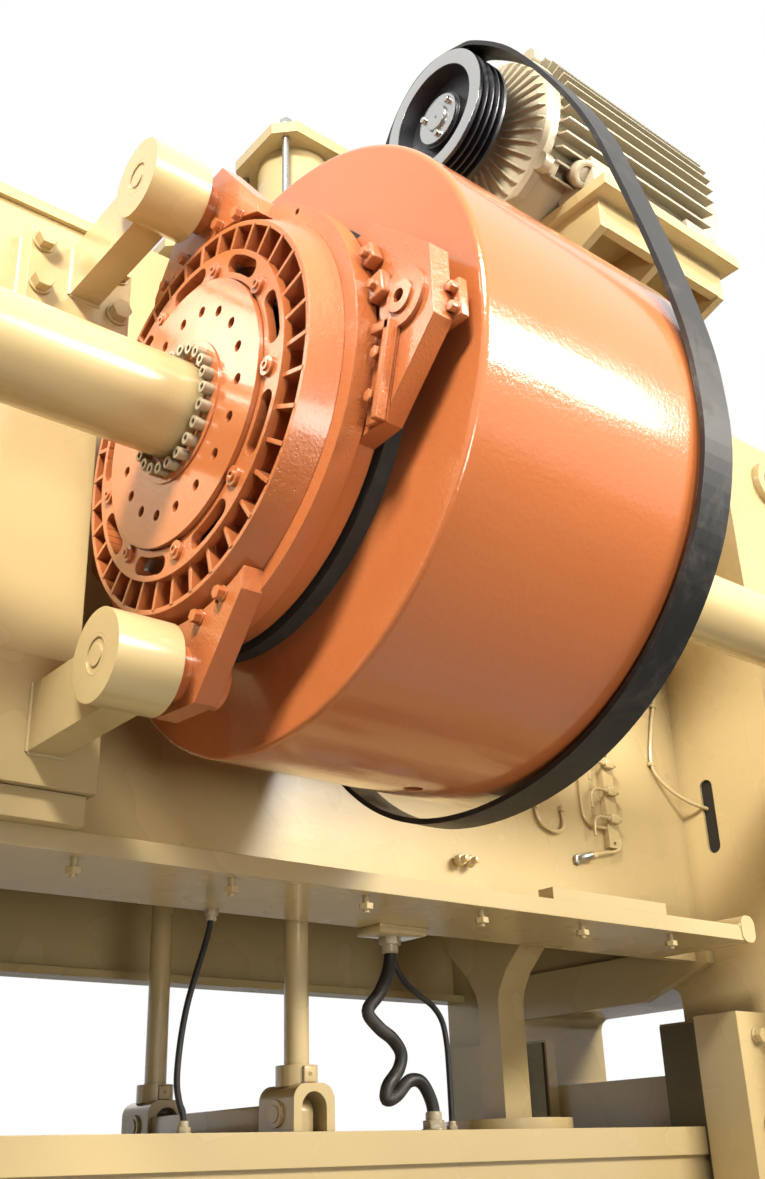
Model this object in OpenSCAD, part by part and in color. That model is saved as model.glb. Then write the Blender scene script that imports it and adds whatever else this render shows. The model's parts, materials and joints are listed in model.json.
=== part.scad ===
// Two-point straight-side mechanical stamping press.
// The flywheel hangs in a recess on the back of the crown, between two gear cases.
// Origin on the floor under the centre of the press, +X right, +Y to the front, +Z up.

/* [Frame] */
// Clear width between the two uprights
span_w = 3622; // [3500:2:3800]
// Width of one upright, left to right
upright_w = 620; // [560:10:700]
// Depth of the uprights, back to front
frame_d = 1892; // [1880:2:1960]
// Height of the bed
bed_h = 700; // [640:10:760]
// Thickness of the bed's and crown's plates
wall_t = 45; // [35:1:60]
// Height of the crown's underside above the floor
crown_z = 2820; // [2800:10:2860]
// Height of the crown from its underside to its roof
crown_h = 2140; // [2080:10:2200]
// How far the middle of the crown's back is set in for the flywheel
recess_d = 446; // [430:2:460]
// Radius of the four tie rods
tie_r = 60; // [50:1:70]

/* [Die space] */
// Thickness of the bolster plate
bolster_t = 200; // [160:10:240]
// Left to right size of the bolster
bolster_w = 3240; // [3000:20:3260]
// Back to front size of the bolster
bolster_d = 1160; // [1000:20:1240]
// Height of the slide's flat underside above the floor, at the bottom of its stroke
shut_z = 1500; // [1450:10:1520]
// Width of a T-slot at the face
slot_w = 28; // [22:1:36]

/* [Slide] */
// Left to right size of the slide
slide_w = 3486; // [3400:2:3500]
// Back to front size of the slide
slide_d = 1070; // [1040:2:1090]
// Height of the slide
slide_h = 750; // [720:10:780]
// Thickness of the slide's top flange
slide_flange_t = 88; // [70:2:100]
// Distance between the two connecting rods
point_pitch = 2440; // [2300:20:2500]
// Back to front distance between the two counterbalance rods
balance_pitch = 800; // [780:2:810]
// Radius of a counterbalance rod
rod_r = 36; // [30:1:42]

/* [Flywheel] */
// Radius of the flywheel
drum_r = 750; // [720:5:765]
// Width of the flywheel along its shaft
drum_w = 772; // [740:2:800]
// Radius of the cross shaft
shaft_r = 113; // [105:1:120]
// Distance of the shaft behind the centre of the press
shaft_back = 1375; // [1360:5:1420]
// Height of the shaft above the floor
shaft_z = 3720; // [3700:10:3760]

/* [Clutch] */
// Radius of the clutch hub disc
hub_disc_r = 320; // [300:1:330]
// Radius of the finned clutch housing
housing_r = 497; // [480:1:520]
// Radius of the ring that carries the upper and lower lugs
brake_ring_r = 536; // [525:1:560]
// Radius of the ring that carries the side lugs
lug_ring_r = 515; // [500:1:530]
// Radius from the shaft to the lug holes
lug_pitch_r = 612; // [605:1:625]
// Number of ribs in the finned housing
rib_n = 36; // [24:1:40]
// Radius of a torque arm's boss
boss_r = 101; // [90:1:110]

/* [Motor] */
// Height of the motor shaft above the flywheel shaft
motor_up = 1473; // [1460:1:1480]
// Distance of the motor shaft in front of the flywheel shaft
motor_fwd = 24; // [0:1:40]
// Outer radius of the motor sheave
sheave_r = 222; // [210:1:226]
// Radius of the motor's frame under its fins
motor_r = 290; // [270:2:296]
// Number of grooves in the sheave
groove_n = 4; // [3:1:5]
// Thickness of the drive belt
belt_t = 14; // [10:1:16]

/* [Hidden] */
$fn = 72;
CREAM = [0.80, 0.75, 0.60];
ORANGE = [0.80, 0.42, 0.20];
STEEL = [0.62, 0.62, 0.60];
DARK = [0.12, 0.12, 0.12];
PALE = [0.86, 0.85, 0.78];
BRONZE = [0.72, 0.52, 0.26];

// Running clearance of shafts and pins, and the gap between parts that pass each other
fit = 0.05;
gap = 0.5;
// A cut runs this far past the faces that it opens
over = 2;

// The uprights stand clear of the slide's guides, even round a wider slide
guide_room = 60;
half_span = max(span_w, slide_w + 2 * guide_room) / 2;
frame_w = 2 * half_span + 2 * upright_w;
half_w = frame_w / 2;
half_d = frame_d / 2;
back_y = -half_d + recess_d;
crown_top = crown_z + crown_h;
bolster_z = bed_h + bolster_t;
slide_top = shut_z + slide_h;
shaft_y = -shaft_back;
// The flywheel's left face, and all clutch sizes, are measured from here
drum_x = -775;

// Tie rods
tie_x = half_span + upright_w / 2;
tie_y = half_d - 186;
tie_nut_r = 110;
tie_nut_h = 90;

// Windows in the uprights
feed_w = 1040;
feed_z0 = bolster_z;
feed_h = 950;
window_y0 = -380;
window_y1 = 580;
window_z0 = 2436;
window_h = 307;
window_r = 50;

// Deck in front of the recess
deck_t = 50;
deck_edge_y = -895;
deck_half = 1575;

// Belt plane, measured from the flywheel's left face
belt_x0 = 645;
belt_w = 100;

// Flat outline with round corners
module rounded(w, h, r) {
    square([w - 2 * r, h], center = true);
    square([w, h - 2 * r], center = true);
    for (sx = [-1, 1], sy = [-1, 1])
        translate([sx * (w / 2 - r), sy * (h / 2 - r)])
            circle(r = r);
}

// Box with round upright edges, its centre at the origin and its base at z0
module rounded_block(w, d, h, r) {
    linear_extrude(height = h)
        rounded(w, d, r);
}

// Window cut along X between x0 and x1, with round corners
module window_x(x0, x1, y0, y1, z0, h, r) {
    translate([x0, (y0 + y1) / 2, z0 + h / 2])
        rotate([90, 0, 90])
            linear_extrude(height = x1 - x0)
                rounded(y1 - y0, h, r);
}

// Round bar along X
module bar_x(x0, x1, r) {
    translate([x0, 0, 0])
        rotate([0, 90, 0])
            cylinder(h = x1 - x0, r = r);
}

// Ring along X
module ring_x(x0, x1, r_out, r_in) {
    difference() {
        bar_x(x0, x1, r_out);
        bar_x(x0 - over, x1 + over, r_in);
    }
}

// Copies round the X axis, the first one at angle a0 from the back towards the top
module round_x(n, r, a0) {
    for (k = [0:n - 1])
        rotate([-(a0 + k * 360 / n), 0, 0])
            translate([0, -r, 0])
                children();
}

// Places a child in the flywheel's own frame
module at_shaft() {
    translate([drum_x, shaft_y, shaft_z])
        children();
}

// Places a child at the motor's shaft, in line with the flywheel's left face
module at_motor() {
    translate([drum_x, shaft_y + motor_fwd, shaft_z + motor_up])
        children();
}

// Hexagon bolt head with a washer, seated at the origin and standing up along +Z
module hex_head(across, h) {
    cylinder(h = h * 0.2, r = across * 0.66);
    translate([0, 0, h * 0.2])
        cylinder(h = h * 0.8, r = across / 2 / cos(30), $fn = 6);
}

// Four copies, one in each corner
module corners(x, y) {
    for (sx = [-1, 1], sy = [-1, 1])
        translate([sx * x, sy * y, 0])
            children();
}

// Bed: welded box on two end blocks, with anchor feet
bed_bay_w = 820;
bed_web_t = 60;
foot_w = 300;
foot_l = 150;
foot_t = 80;
anchor_r = 26;
anchor_x = half_w + foot_l / 2;
anchor_y = half_d - 246;
hand_hole_r = 200;

module bed() {
    color(CREAM)
        difference() {
            union() {
                translate([-half_w, -half_d, 0])
                    cube([frame_w, frame_d, bed_h]);
                corners(half_w + foot_l / 2 - 5, anchor_y)
                    translate([-foot_l / 2 - 5, -foot_w / 2, 0])
                        cube([foot_l + 10, foot_w, foot_t]);
            }
            for (k = [-1.5:1:1.5])
                translate([k * (bed_bay_w + bed_web_t) - bed_bay_w / 2, -half_d + wall_t, wall_t])
                    cube([bed_bay_w, frame_d - 2 * wall_t, bed_h - 2.5 * wall_t]);
            for (k = [-1.5:1:1.5])
                translate([k * (bed_bay_w + bed_web_t), half_d + over, bed_h / 2])
                    rotate([90, 0, 0])
                        cylinder(h = frame_d + 2 * over, r = hand_hole_r);
            corners(anchor_x, anchor_y)
                translate([0, 0, -over])
                    cylinder(h = foot_t + 2 * over, r = anchor_r);
            corners(tie_x, tie_y)
                translate([0, 0, -over])
                    cylinder(h = bed_h + 2 * over, r = tie_r + 15);
            corners(tie_x, tie_y)
                translate([0, 0, -over])
                    cylinder(h = tie_nut_h + 30 + over, r = tie_nut_r + 40);
        }
}

// T-slots across a plate, cut down from z, or up when turned over
module t_slots(n, pitch, d) {
    for (k = [0:n - 1])
        translate([(k - (n - 1) / 2) * pitch, d / 2 + over, 0])
            rotate([90, 0, 0])
                linear_extrude(height = d + 2 * over) {
                    translate([-slot_w / 2, -slot_w])
                        square([slot_w, slot_w + over]);
                    translate([-slot_w * 0.9, -slot_w * 1.8])
                        square([slot_w * 1.8, slot_w * 0.9]);
                }
}

slot_n = 9;
slot_pitch = 300;

module bolster() {
    color(STEEL)
        difference() {
            translate([0, 0, bed_h])
                rounded_block(bolster_w, bolster_d, bolster_t, 20);
            translate([0, 0, bolster_z])
                t_slots(slot_n, slot_pitch, bolster_d);
        }
}

// Right-hand upright; the left one is its mirror image
module upright() {
    color(CREAM)
        difference() {
            translate([half_span, -half_d, bed_h])
                cube([upright_w, frame_d, crown_z - bed_h]);
            window_x(half_span - over, half_w + over, -feed_w / 2, feed_w / 2,
                feed_z0, feed_h, 60);
            window_x(half_span - over, half_w + over, window_y0, window_y1,
                window_z0, window_h, window_r);
            for (sy = [-1, 1])
                translate([tie_x, sy * tie_y, bed_h - over])
                    cylinder(h = crown_z - bed_h + 2 * over, r = tie_r + 15);
        }
}

module upright_left() {
    mirror([1, 0, 0])
        upright();
}

module upright_right() {
    upright();
}

// Crown: casing between two end blocks, open below, set in at the back for the flywheel
side_slot_y = -625;
side_slot_z = 3209;
side_slot_h = 288;
side_slot_w = 58;
side_slot_t = 150;
web_x = 700;
web_t = 60;
web_up = 580;
skirt_t = 40;
skirt_drop = 117;
flange_d = 70;
lift_r = 60;
lift_z = 4780;

module crown_outline() {
    polygon([[-half_w, -half_d], [-half_span, -half_d], [-half_span, back_y],
        [half_span, back_y], [half_span, -half_d], [half_w, -half_d],
        [half_w, half_d], [-half_w, half_d]]);
}

// Plate down the inner side of an end box, slanting up towards the back
module crown_skirt() {
    translate([half_span - skirt_t, 0, crown_z])
        rotate([90, 0, 90])
            linear_extrude(height = skirt_t)
                polygon([[back_y - 49, -10], [-225, -skirt_drop], [620, -skirt_drop],
                    [700, 0], [700, 60], [back_y, 60], [back_y, deck_t],
                    [back_y - 49, deck_t]]);
    translate([half_span - skirt_t, back_y - 49, crown_z + 4])
        cube([skirt_t + over, 749 - back_y, deck_t - 4]);
}

module crown() {
    color(CREAM)
        difference() {
            union() {
                difference() {
                    translate([0, 0, crown_z])
                        linear_extrude(height = crown_h)
                            crown_outline();
                    translate([-half_span, back_y + wall_t, crown_z - over])
                        cube([2 * half_span, frame_d - recess_d - 2 * wall_t,
                            crown_h - wall_t + over]);
                }
                for (sx = [-1, 1])
                    translate([sx * web_x - web_t / 2, back_y + wall_t - over,
                        crown_z + web_up])
                        cube([web_t, frame_d - recess_d - 2 * wall_t + 2 * over,
                            crown_h - wall_t - web_up + over]);
                for (sx = [-1, 1])
                    translate([sx * tie_x, -half_d + over, lift_z])
                        rotate([90, 0, 0])
                            cylinder(h = 30 + over, r = lift_r + 45);
                for (sx = [0, 1])
                    mirror([sx, 0, 0])
                        crown_skirt();
                translate([-half_span - over, half_d - wall_t - flange_d, crown_z])
                    cube([2 * half_span + 2 * over, flange_d + over, 30]);
            }
            for (sx = [-1, 1])
                window_x(min(sx * (half_span - over), sx * (half_span + side_slot_t)),
                    max(sx * (half_span - over), sx * (half_span + side_slot_t)),
                    side_slot_y - side_slot_w / 2, side_slot_y + side_slot_w / 2,
                    side_slot_z, side_slot_h, side_slot_w / 2 - 0.5);
            for (sx = [-1, 1])
                translate([sx * tie_x, -half_d - 40, lift_z])
                    rotate([-90, 0, 0])
                        cylinder(h = 120, r = lift_r);
            corners(tie_x, tie_y)
                translate([0, 0, crown_z - over])
                    cylinder(h = crown_h + 2 * over, r = tie_r + 15);
            for (sy = [-1, 1])
                translate([0, sy * balance_pitch / 2, crown_top - wall_t - over])
                    cylinder(h = wall_t + 2 * over, r = rod_r + 20);
        }
}

// Deck plate behind the crown's recess, with a round lip at its right end and a low pad
lip_l = 199;
pad_x0 = 600;
pad_x1 = 1130;
pad_h = 38;

module deck_plate() {
    color(CREAM) {
        translate([0, (deck_edge_y + back_y) / 2, crown_z])
            rounded_block(2 * deck_half, back_y - deck_edge_y, deck_t, 22);
        translate([deck_half - 22, deck_edge_y + lip_l - 4, crown_z + 40])
            rotate([90, 0, 0])
                linear_extrude(height = lip_l)
                    rounded(75, 90, 30);
        translate([pad_x0, deck_edge_y + 6, crown_z + deck_t - over])
            cube([pad_x1 - pad_x0, 60, pad_h + over]);
    }
}

deck_bolt_x0 = -1367;
deck_bolt_pitch = 425;
deck_bolt_n = 7;

module deck_bolts() {
    color(CREAM)
        for (k = [0:deck_bolt_n - 1])
            translate([deck_bolt_x0 + k * deck_bolt_pitch, deck_edge_y + 45, crown_z])
                mirror([0, 0, 1]) {
                    cylinder(h = 46, r = 9);
                    translate([0, 0, 22])
                        cylinder(h = 16, r = 20, $fn = 6);
                }
}

// Closed case on the crown's back, left of the flywheel; it carries the torque arms
case_x1 = -987;
case_top = 4540;
lid_t = 25;

module rear_case() {
    color(CREAM)
        translate([-half_span, deck_edge_y, crown_z + deck_t])
            cube([case_x1 + half_span, back_y - deck_edge_y, case_top - crown_z - deck_t]);
}

module rear_case_lid() {
    color(CREAM)
        translate([-half_span, deck_edge_y - 15, case_top])
            cube([case_x1 + half_span + 15, back_y - deck_edge_y + 15, lid_t]);
}

module tie_rods() {
    color(STEEL)
        corners(tie_x, tie_y)
            translate([0, 0, 12])
                cylinder(h = crown_top + tie_nut_h + 30, r = tie_r);
}

module tie_nut() {
    difference() {
        union() {
            cylinder(h = 20, r = tie_nut_r + 12);
            translate([0, 0, 20])
                cylinder(h = tie_nut_h - 20, r = tie_nut_r, $fn = 6);
        }
        translate([0, 0, -over])
            cylinder(h = tie_nut_h + 2 * over, r = tie_r + fit);
    }
}

module tie_rod_nuts() {
    color(STEEL) {
        corners(tie_x, tie_y)
            translate([0, 0, crown_top])
                tie_nut();
        corners(tie_x, tie_y)
            translate([0, 0, tie_nut_h + 30])
                mirror([0, 0, 1])
                    tie_nut();
    }
}

// Gibs: L-shaped guides on the uprights, with bronze liners towards the slide
gib_z0 = 1300;
gib_top = 2613;
gib_in = 171;
gib_y = 735;
gib_leg_y = 300;
liner_t = 15;
gib_face_x = slide_w / 2 + gap + liner_t;
gib_face_y = slide_d / 2 + gap + liner_t;

module quadrants() {
    for (sx = [0, 1], sy = [0, 1])
        mirror([sx, 0, 0])
            mirror([0, sy, 0])
                children();
}

module gibs() {
    color(CREAM)
        quadrants()
            translate([0, 0, gib_z0])
                linear_extrude(height = gib_top - gib_z0)
                    polygon([[half_span - gib_in, gib_y], [half_span, gib_y],
                        [half_span, gib_leg_y], [gib_face_x, gib_leg_y],
                        [gib_face_x, gib_face_y], [half_span - gib_in, gib_face_y]]);
}

module gib_liners() {
    color(BRONZE)
        quadrants() {
            translate([half_span - gib_in + 10, gib_face_y - liner_t, gib_z0 + 10])
                cube([slide_w / 2 - half_span + gib_in - 20, liner_t, gib_top - gib_z0 - 20]);
            translate([gib_face_x - liner_t, gib_leg_y + 10, gib_z0 + 10])
                cube([liner_t, slide_d / 2 - gib_leg_y - 20, gib_top - gib_z0 - 20]);
        }
}

gib_bolt_n = 5;
gib_bolt_pitch = 280;

module gib_bolts() {
    color(CREAM)
        quadrants()
            for (k = [0:gib_bolt_n - 1])
                translate([half_span - 70, gib_y, gib_top - 80 - k * gib_bolt_pitch])
                    rotate([-90, 0, 0])
                        hex_head(46, 34);
}

// Slide: welded box with flanges, ribs, hand holes and pockets for the rod screws
slide_wall = 50;
slide_in = 20;
pocket_r = 200;
pocket_z = slide_top - 300;
cavity_z0 = shut_z + 110;
cavity_h = 420;
bay_pitch = 830;
bay_w = 760;
post_r = 265;

module slide() {
    color(CREAM)
        difference() {
            union() {
                translate([0, 0, shut_z])
                    rounded_block(slide_w, slide_d, 100, 12);
                translate([0, 0, shut_z + 98])
                    rounded_block(slide_w - 2 * slide_in, slide_d - 2 * slide_in,
                        slide_h - 98 - slide_flange_t + over, 12);
                translate([0, 0, slide_top - slide_flange_t])
                    rounded_block(slide_w, slide_d, slide_flange_t, 20);
            }
            difference() {
                union() {
                    for (k = [-1.5:1:1.5])
                        translate([k * bay_pitch - bay_w / 2,
                            -slide_d / 2 + slide_in + slide_wall, cavity_z0])
                            cube([bay_w, slide_d - 2 * (slide_in + slide_wall), cavity_h]);
                    for (k = [-1.5:1:1.5])
                        translate([k * bay_pitch, slide_d / 2 + over, cavity_z0 + cavity_h / 2])
                            rotate([90, 0, 0])
                                cylinder(h = slide_d + 2 * over, r = 120);
                }
                for (sx = [-1, 1])
                    translate([sx * point_pitch / 2, 0, cavity_z0 - over])
                        cylinder(h = cavity_h + 2 * over, r = post_r);
            }
            for (sx = [-1, 1])
                translate([sx * point_pitch / 2, 0, pocket_z])
                    cylinder(h = slide_top - pocket_z + over, r = pocket_r);
            translate([0, 0, shut_z])
                mirror([0, 0, 1])
                    t_slots(slot_n, slot_pitch, slide_d);
        }
}

// Round split cover on the slide's top, round each connecting rod
cover_r = 230;
cover_t = 46;
neck_hole_r = 132;

module point_covers() {
    color(CREAM)
        for (sx = [-1, 1])
            translate([sx * point_pitch / 2, 0, slide_top])
                difference() {
                    cylinder(h = cover_t, r = cover_r);
                    translate([0, 0, -over])
                        cylinder(h = cover_t + 2 * over, r = neck_hole_r);
                }
}

// Fork in the slide's pocket that holds the connecting rod's foot on its wrist pin
wrist_z = slide_top - 110;
wrist_r = 45;
foot_half = 72;
fork_r = 180;

module screw_forks() {
    color(STEEL)
        for (sx = [-1, 1])
            translate([sx * point_pitch / 2, 0, 0])
                difference() {
                    union() {
                        translate([0, 0, pocket_z])
                            cylinder(h = 70, r = fork_r);
                        for (s = [-1, 1])
                            translate([s * (foot_half + 38) - 37, -70, pocket_z + 60])
                                cube([74, 140, wrist_z - pocket_z + 10]);
                    }
                    translate([-200, 0, wrist_z])
                        rotate([0, 90, 0])
                            cylinder(h = 400, r = wrist_r + fit);
                }
}

module wrist_pins() {
    color(STEEL)
        for (sx = [-1, 1])
            translate([sx * point_pitch / 2 - 136, 0, wrist_z])
                rotate([0, 90, 0])
                    cylinder(h = 272, r = wrist_r);
}

// Connecting rod: foot on the wrist pin, slim neck and flared head with the crank bore
head_z = 3330;
head_r = 300;
head_half = 95;
crank_r = 190;
neck_half = 55;
neck_t = 130;
rod_l = head_z - wrist_z;

module pitman(sx) {
    color(CREAM)
        translate([sx * point_pitch / 2, 0, wrist_z])
            difference() {
                union() {
                    bar_x(-foot_half + gap, foot_half - gap, 85);
                    translate([-neck_t / 2, 0, 0])
                        rotate([90, 0, 90])
                            linear_extrude(height = neck_t)
                                for (s = [0, 1])
                                    mirror([s, 0])
                                        polygon([[-over, 0], [neck_half, 0],
                                            [neck_half, 560], [neck_half + 12, 600],
                                            [neck_half + 50, 660], [head_r * 0.7, 760],
                                            [head_r * 0.78, 820],
                                            [head_r * 0.8, rod_l - head_r * 0.6],
                                            [-over, rod_l - head_r * 0.6]]);
                    translate([0, 0, rod_l])
                        bar_x(-head_half, head_half, head_r);
                }
                bar_x(-150, 150, wrist_r + fit);
                translate([0, 0, rod_l])
                    bar_x(-150, 150, crank_r);
            }
}

module pitman_left() {
    pitman(-1);
}

module pitman_right() {
    pitman(1);
}

// Counterbalance: two air cylinders on the roof, their rods reach down to the slide
foot_h = 126;
foot_w1 = 140;
foot_d1 = 170;
arch_z = 62;
eye_half = 26;
collar_h = 50;
collar_r = 60;
cyl_flange_t = 50;
cyl_half = 195;
cyl_tube_r = 145;
cyl_tube_wall = 15;
cyl_tube_h = 735;
cyl_z0 = crown_top + cyl_flange_t;
piston_z = cyl_z0 + 120;
piston_h = 110;

module balance_places() {
    for (sy = [-1, 1])
        translate([0, sy * balance_pitch / 2, 0])
            children();
}

module balance_rods() {
    color(STEEL)
        balance_places()
            translate([0, 0, slide_top + foot_h + collar_h])
                cylinder(h = piston_z - slide_top - foot_h - collar_h, r = rod_r);
}

module balance_pistons() {
    color(STEEL)
        balance_places()
            translate([0, 0, piston_z])
                cylinder(h = piston_h, r = cyl_tube_r - cyl_tube_wall - fit);
}

module rod_feet() {
    color(CREAM)
        balance_places()
            difference() {
                union() {
                    translate([-foot_w1 / 2, foot_d1 / 2, slide_top + 2])
                        rotate([90, 0, 0])
                            linear_extrude(height = foot_d1) {
                                translate([foot_w1 / 2, foot_h / 2 - 1])
                                    rounded(foot_w1, foot_h - 2, 44);
                                square([foot_w1, foot_h / 2]);
                            }
                    translate([0, 0, slide_top + foot_h - over - 4])
                        cylinder(h = collar_h + over + 4, r = collar_r);
                    translate([-foot_w1 / 2 - 8, 0, slide_top + 50])
                        rotate([0, 90, 0])
                            cylinder(h = foot_w1 + 16, r = 36);
                }
                translate([-42, -foot_d1 / 2 - over, slide_top - over])
                    cube([84, foot_d1 + 2 * over, arch_z + over]);
                translate([0, foot_d1 / 2 + over, slide_top + arch_z])
                    rotate([90, 0, 0])
                        cylinder(h = foot_d1 + 2 * over, r = 42);
                translate([-100, 0, slide_top + 50])
                    rotate([0, 90, 0])
                        cylinder(h = 200, r = 22 + fit);
            }
}

module foot_eyes() {
    color(CREAM)
        balance_places()
            difference() {
                union() {
                    translate([-eye_half, -42, slide_top])
                        cube([2 * eye_half, 84, 50]);
                    translate([-eye_half, 0, slide_top + 50])
                        rotate([0, 90, 0])
                            cylinder(h = 2 * eye_half, r = 42);
                }
                translate([-100, 0, slide_top + 50])
                    rotate([0, 90, 0])
                        cylinder(h = 200, r = 22 + fit);
            }
}

module foot_pins() {
    color(STEEL)
        balance_places()
            translate([-foot_w1 / 2 - 11, 0, slide_top + 50])
                rotate([0, 90, 0])
                    cylinder(h = foot_w1 + 22, r = 22);
}

module balance_tubes() {
    color(CREAM)
        balance_places()
            translate([0, 0, cyl_z0])
                difference() {
                    cylinder(h = cyl_tube_h, r = cyl_tube_r);
                    translate([0, 0, -over])
                        cylinder(h = cyl_tube_h + 2 * over, r = cyl_tube_r - cyl_tube_wall);
                }
}

// End plate of a cylinder: a square with its corners cut off
module end_plate(h) {
    cut = 70;
    linear_extrude(height = h)
        polygon([[-cyl_half + cut, -cyl_half], [cyl_half - cut, -cyl_half],
            [cyl_half, -cyl_half + cut], [cyl_half, cyl_half - cut],
            [cyl_half - cut, cyl_half], [-cyl_half + cut, cyl_half],
            [-cyl_half, cyl_half - cut], [-cyl_half, -cyl_half + cut]]);
}

cyl_bolt = 138;

module balance_caps() {
    color(CREAM)
        balance_places() {
            difference() {
                translate([0, 0, crown_top])
                    end_plate(cyl_flange_t);
                translate([0, 0, crown_top - over])
                    cylinder(h = cyl_flange_t + 2 * over, r = rod_r + fit);
            }
            translate([0, 0, cyl_z0 + cyl_tube_h])
                end_plate(cyl_flange_t);
        }
}

module balance_tie_rods() {
    color(STEEL)
        balance_places()
            corners(cyl_bolt, cyl_bolt) {
                translate([0, 0, cyl_z0])
                    cylinder(h = cyl_tube_h, r = 14);
                translate([0, 0, cyl_z0 + cyl_tube_h + cyl_flange_t])
                    hex_head(44, 34);
            }
}

// Gear cases on the back of both end boxes; the cross shaft ends in them
gear_x0 = half_span + 89;
gear_r = 430;
gear_back = 300;
flange_r = 230;
shaft_half = gear_x0 + 60;

module gear_case() {
    color(CREAM)
        difference() {
            translate([gear_x0, shaft_y, shaft_z])
                rotate([90, 0, 90])
                    linear_extrude(height = half_w - gear_x0)
                        intersection() {
                            union() {
                                circle(r = gear_r);
                                translate([0, -gear_r])
                                    square([gear_r + over, 2 * gear_r]);
                            }
                            translate([-gear_r - over, -gear_r - over])
                                square([gear_r + over + shaft_back - half_d,
                                    2 * (gear_r + over)]);
                        }
            translate([gear_x0 - over, shaft_y, shaft_z])
                rotate([0, 90, 0])
                    cylinder(h = shaft_half - gear_x0 + 2 * over, r = shaft_r + 20);
        }
}

module gear_case_left() {
    mirror([1, 0, 0])
        gear_case();
}

module gear_case_right() {
    gear_case();
}

module bearing_flanges() {
    color(CREAM)
        translate([0, shaft_y, shaft_z])
            for (s = [0, 1])
                mirror([s, 0, 0])
                    ring_x(gear_x0 - 60, gear_x0, flange_r, shaft_r + fit);
}

// Cross shaft, slightly slimmer from the locking ring on
lock_x0 = -245;
shaft_step = 4;

module drive_shaft() {
    color(CREAM)
        at_shaft() {
            bar_x(-shaft_half - drum_x, lock_x0, shaft_r);
            bar_x(lock_x0 - over, drum_w - 40, shaft_r - shaft_step);
            bar_x(drum_w - 40 - over, shaft_half - drum_x, shaft_r);
        }
}

// Locking ring between shaft and clutch hub, with a ring of socket screws
lock_r = 170;
lock_screw_r = 142;
lock_screw_n = 22;
hub_x0 = -241;

module locking_ring() {
    color(ORANGE)
        at_shaft()
            difference() {
                ring_x(lock_x0, hub_x0 + 26, lock_r - fit, shaft_r - shaft_step + fit);
                bar_x(lock_x0 - over, lock_x0 + 6, shaft_r + 12);
            }
}

// Socket screw along X: its head towards -X, seated at the origin
module socket_screw(r, h) {
    difference() {
        bar_x(-h, 0, r);
        translate([-h - over, 0, 0])
            rotate([0, 90, 0])
                cylinder(h = h * 0.6 + over, r = r * 0.55, $fn = 6);
    }
}

module locking_screws() {
    color(PALE)
        at_shaft()
            translate([lock_x0, 0, 0])
                round_x(lock_screw_n, lock_screw_r, 9)
                    socket_screw(14, 24);
}

// Clutch hub disc with its ring of holes, on a sleeve that reaches to the flywheel
hub_hole_n = 18;
hub_hole_pitch_r = 243;
hub_hole_r = 13;
hub_sleeve_r = 215;

module clutch_hub() {
    color(ORANGE)
        at_shaft()
            difference() {
                union() {
                    bar_x(hub_x0, hub_x0 + 27, hub_disc_r);
                    bar_x(hub_x0 + 25, -60, hub_sleeve_r);
                }
                bar_x(hub_x0 - over, hub_x0 + 26, lock_r);
                bar_x(hub_x0, 0, shaft_r - shaft_step + fit);
                translate([hub_x0 - over, 0, 0])
                    round_x(hub_hole_n, hub_hole_pitch_r, 10)
                        bar_x(0, 27 + 2 * over, hub_hole_r);
            }
}

// Finned clutch housing: slotted inner ring, radial ribs and a conical outer rim
plate_x0 = -229;
plate_r = 393;
rim_in_r = 455;
rim_lip = 12;
rim_x0 = -218;
housing_x1 = -150.3;
slot_n2 = 9;
slot_pitch_r = 358;
slot_half_w = 21;
slot_angle = 8;
ring_bolt_n = 9;
ring_bolt_r = 346;

module kidney_slot() {
    for (a = [-slot_angle, slot_angle])
        rotate([a, 0, 0])
            translate([0, -slot_pitch_r, 0])
                bar_x(plate_x0 - over, plate_x0 + 40, slot_half_w);
    for (a = [-slot_angle / 2, 0, slot_angle / 2])
        rotate([a, 0, 0])
            translate([plate_x0 - over, -slot_pitch_r - slot_half_w, -26])
                cube([40, 2 * slot_half_w, 52]);
}

module clutch_housing() {
    color(ORANGE)
        at_shaft()
            difference() {
                union() {
                    ring_x(plate_x0, plate_x0 + 22, plate_r, hub_disc_r + 3);
                    ring_x(plate_x0 + 20, housing_x1, plate_r - 8, plate_r - 26);
                    ring_x(housing_x1 - 25, housing_x1, housing_r - 14, hub_disc_r + 3);
                    rotate([0, 90, 0])
                        rotate_extrude()
                            polygon([[rim_in_r, rim_x0], [rim_in_r + rim_lip, rim_x0],
                                [housing_r, housing_x1], [rim_in_r, housing_x1]]);
                    translate([rim_x0 - 2, 0, 0])
                        round_x(rib_n, rim_in_r + 4, 5)
                            translate([0, 0, -5])
                                cube([60, rim_in_r - plate_r + 16, 10]);
                }
                for (k = [0:slot_n2 - 1])
                    rotate([-(9.5 + k * 360 / slot_n2), 0, 0])
                        kidney_slot();
            }
}

module housing_bolts() {
    color(ORANGE)
        at_shaft()
            translate([plate_x0, 0, 0])
                round_x(ring_bolt_n, ring_bolt_r, -10.5) {
                    bar_x(-8, 0, 22);
                    translate([-8, 0, 0])
                        socket_screw(12, 5);
                }
}

// Outlines of the lugs, from the ring at the shaft's side to the tip
end_lug = [[-240, 430], [-233, 488], [-80, 692], [80, 692], [233, 488], [240, 430]];
side_lug = [[-252, 430], [-245, 537], [-84, 700], [84, 700], [245, 537], [252, 430]];

// Lug plate along X, turned to its angle from the back towards the top
module lug(a, x0, x1, outline) {
    rotate([-a, 0, 0])
        translate([x0, 0, 0])
            rotate([90, 0, 90])
                linear_extrude(height = x1 - x0)
                    rotate([0, 0, 90])
                        polygon(outline);
}

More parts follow.
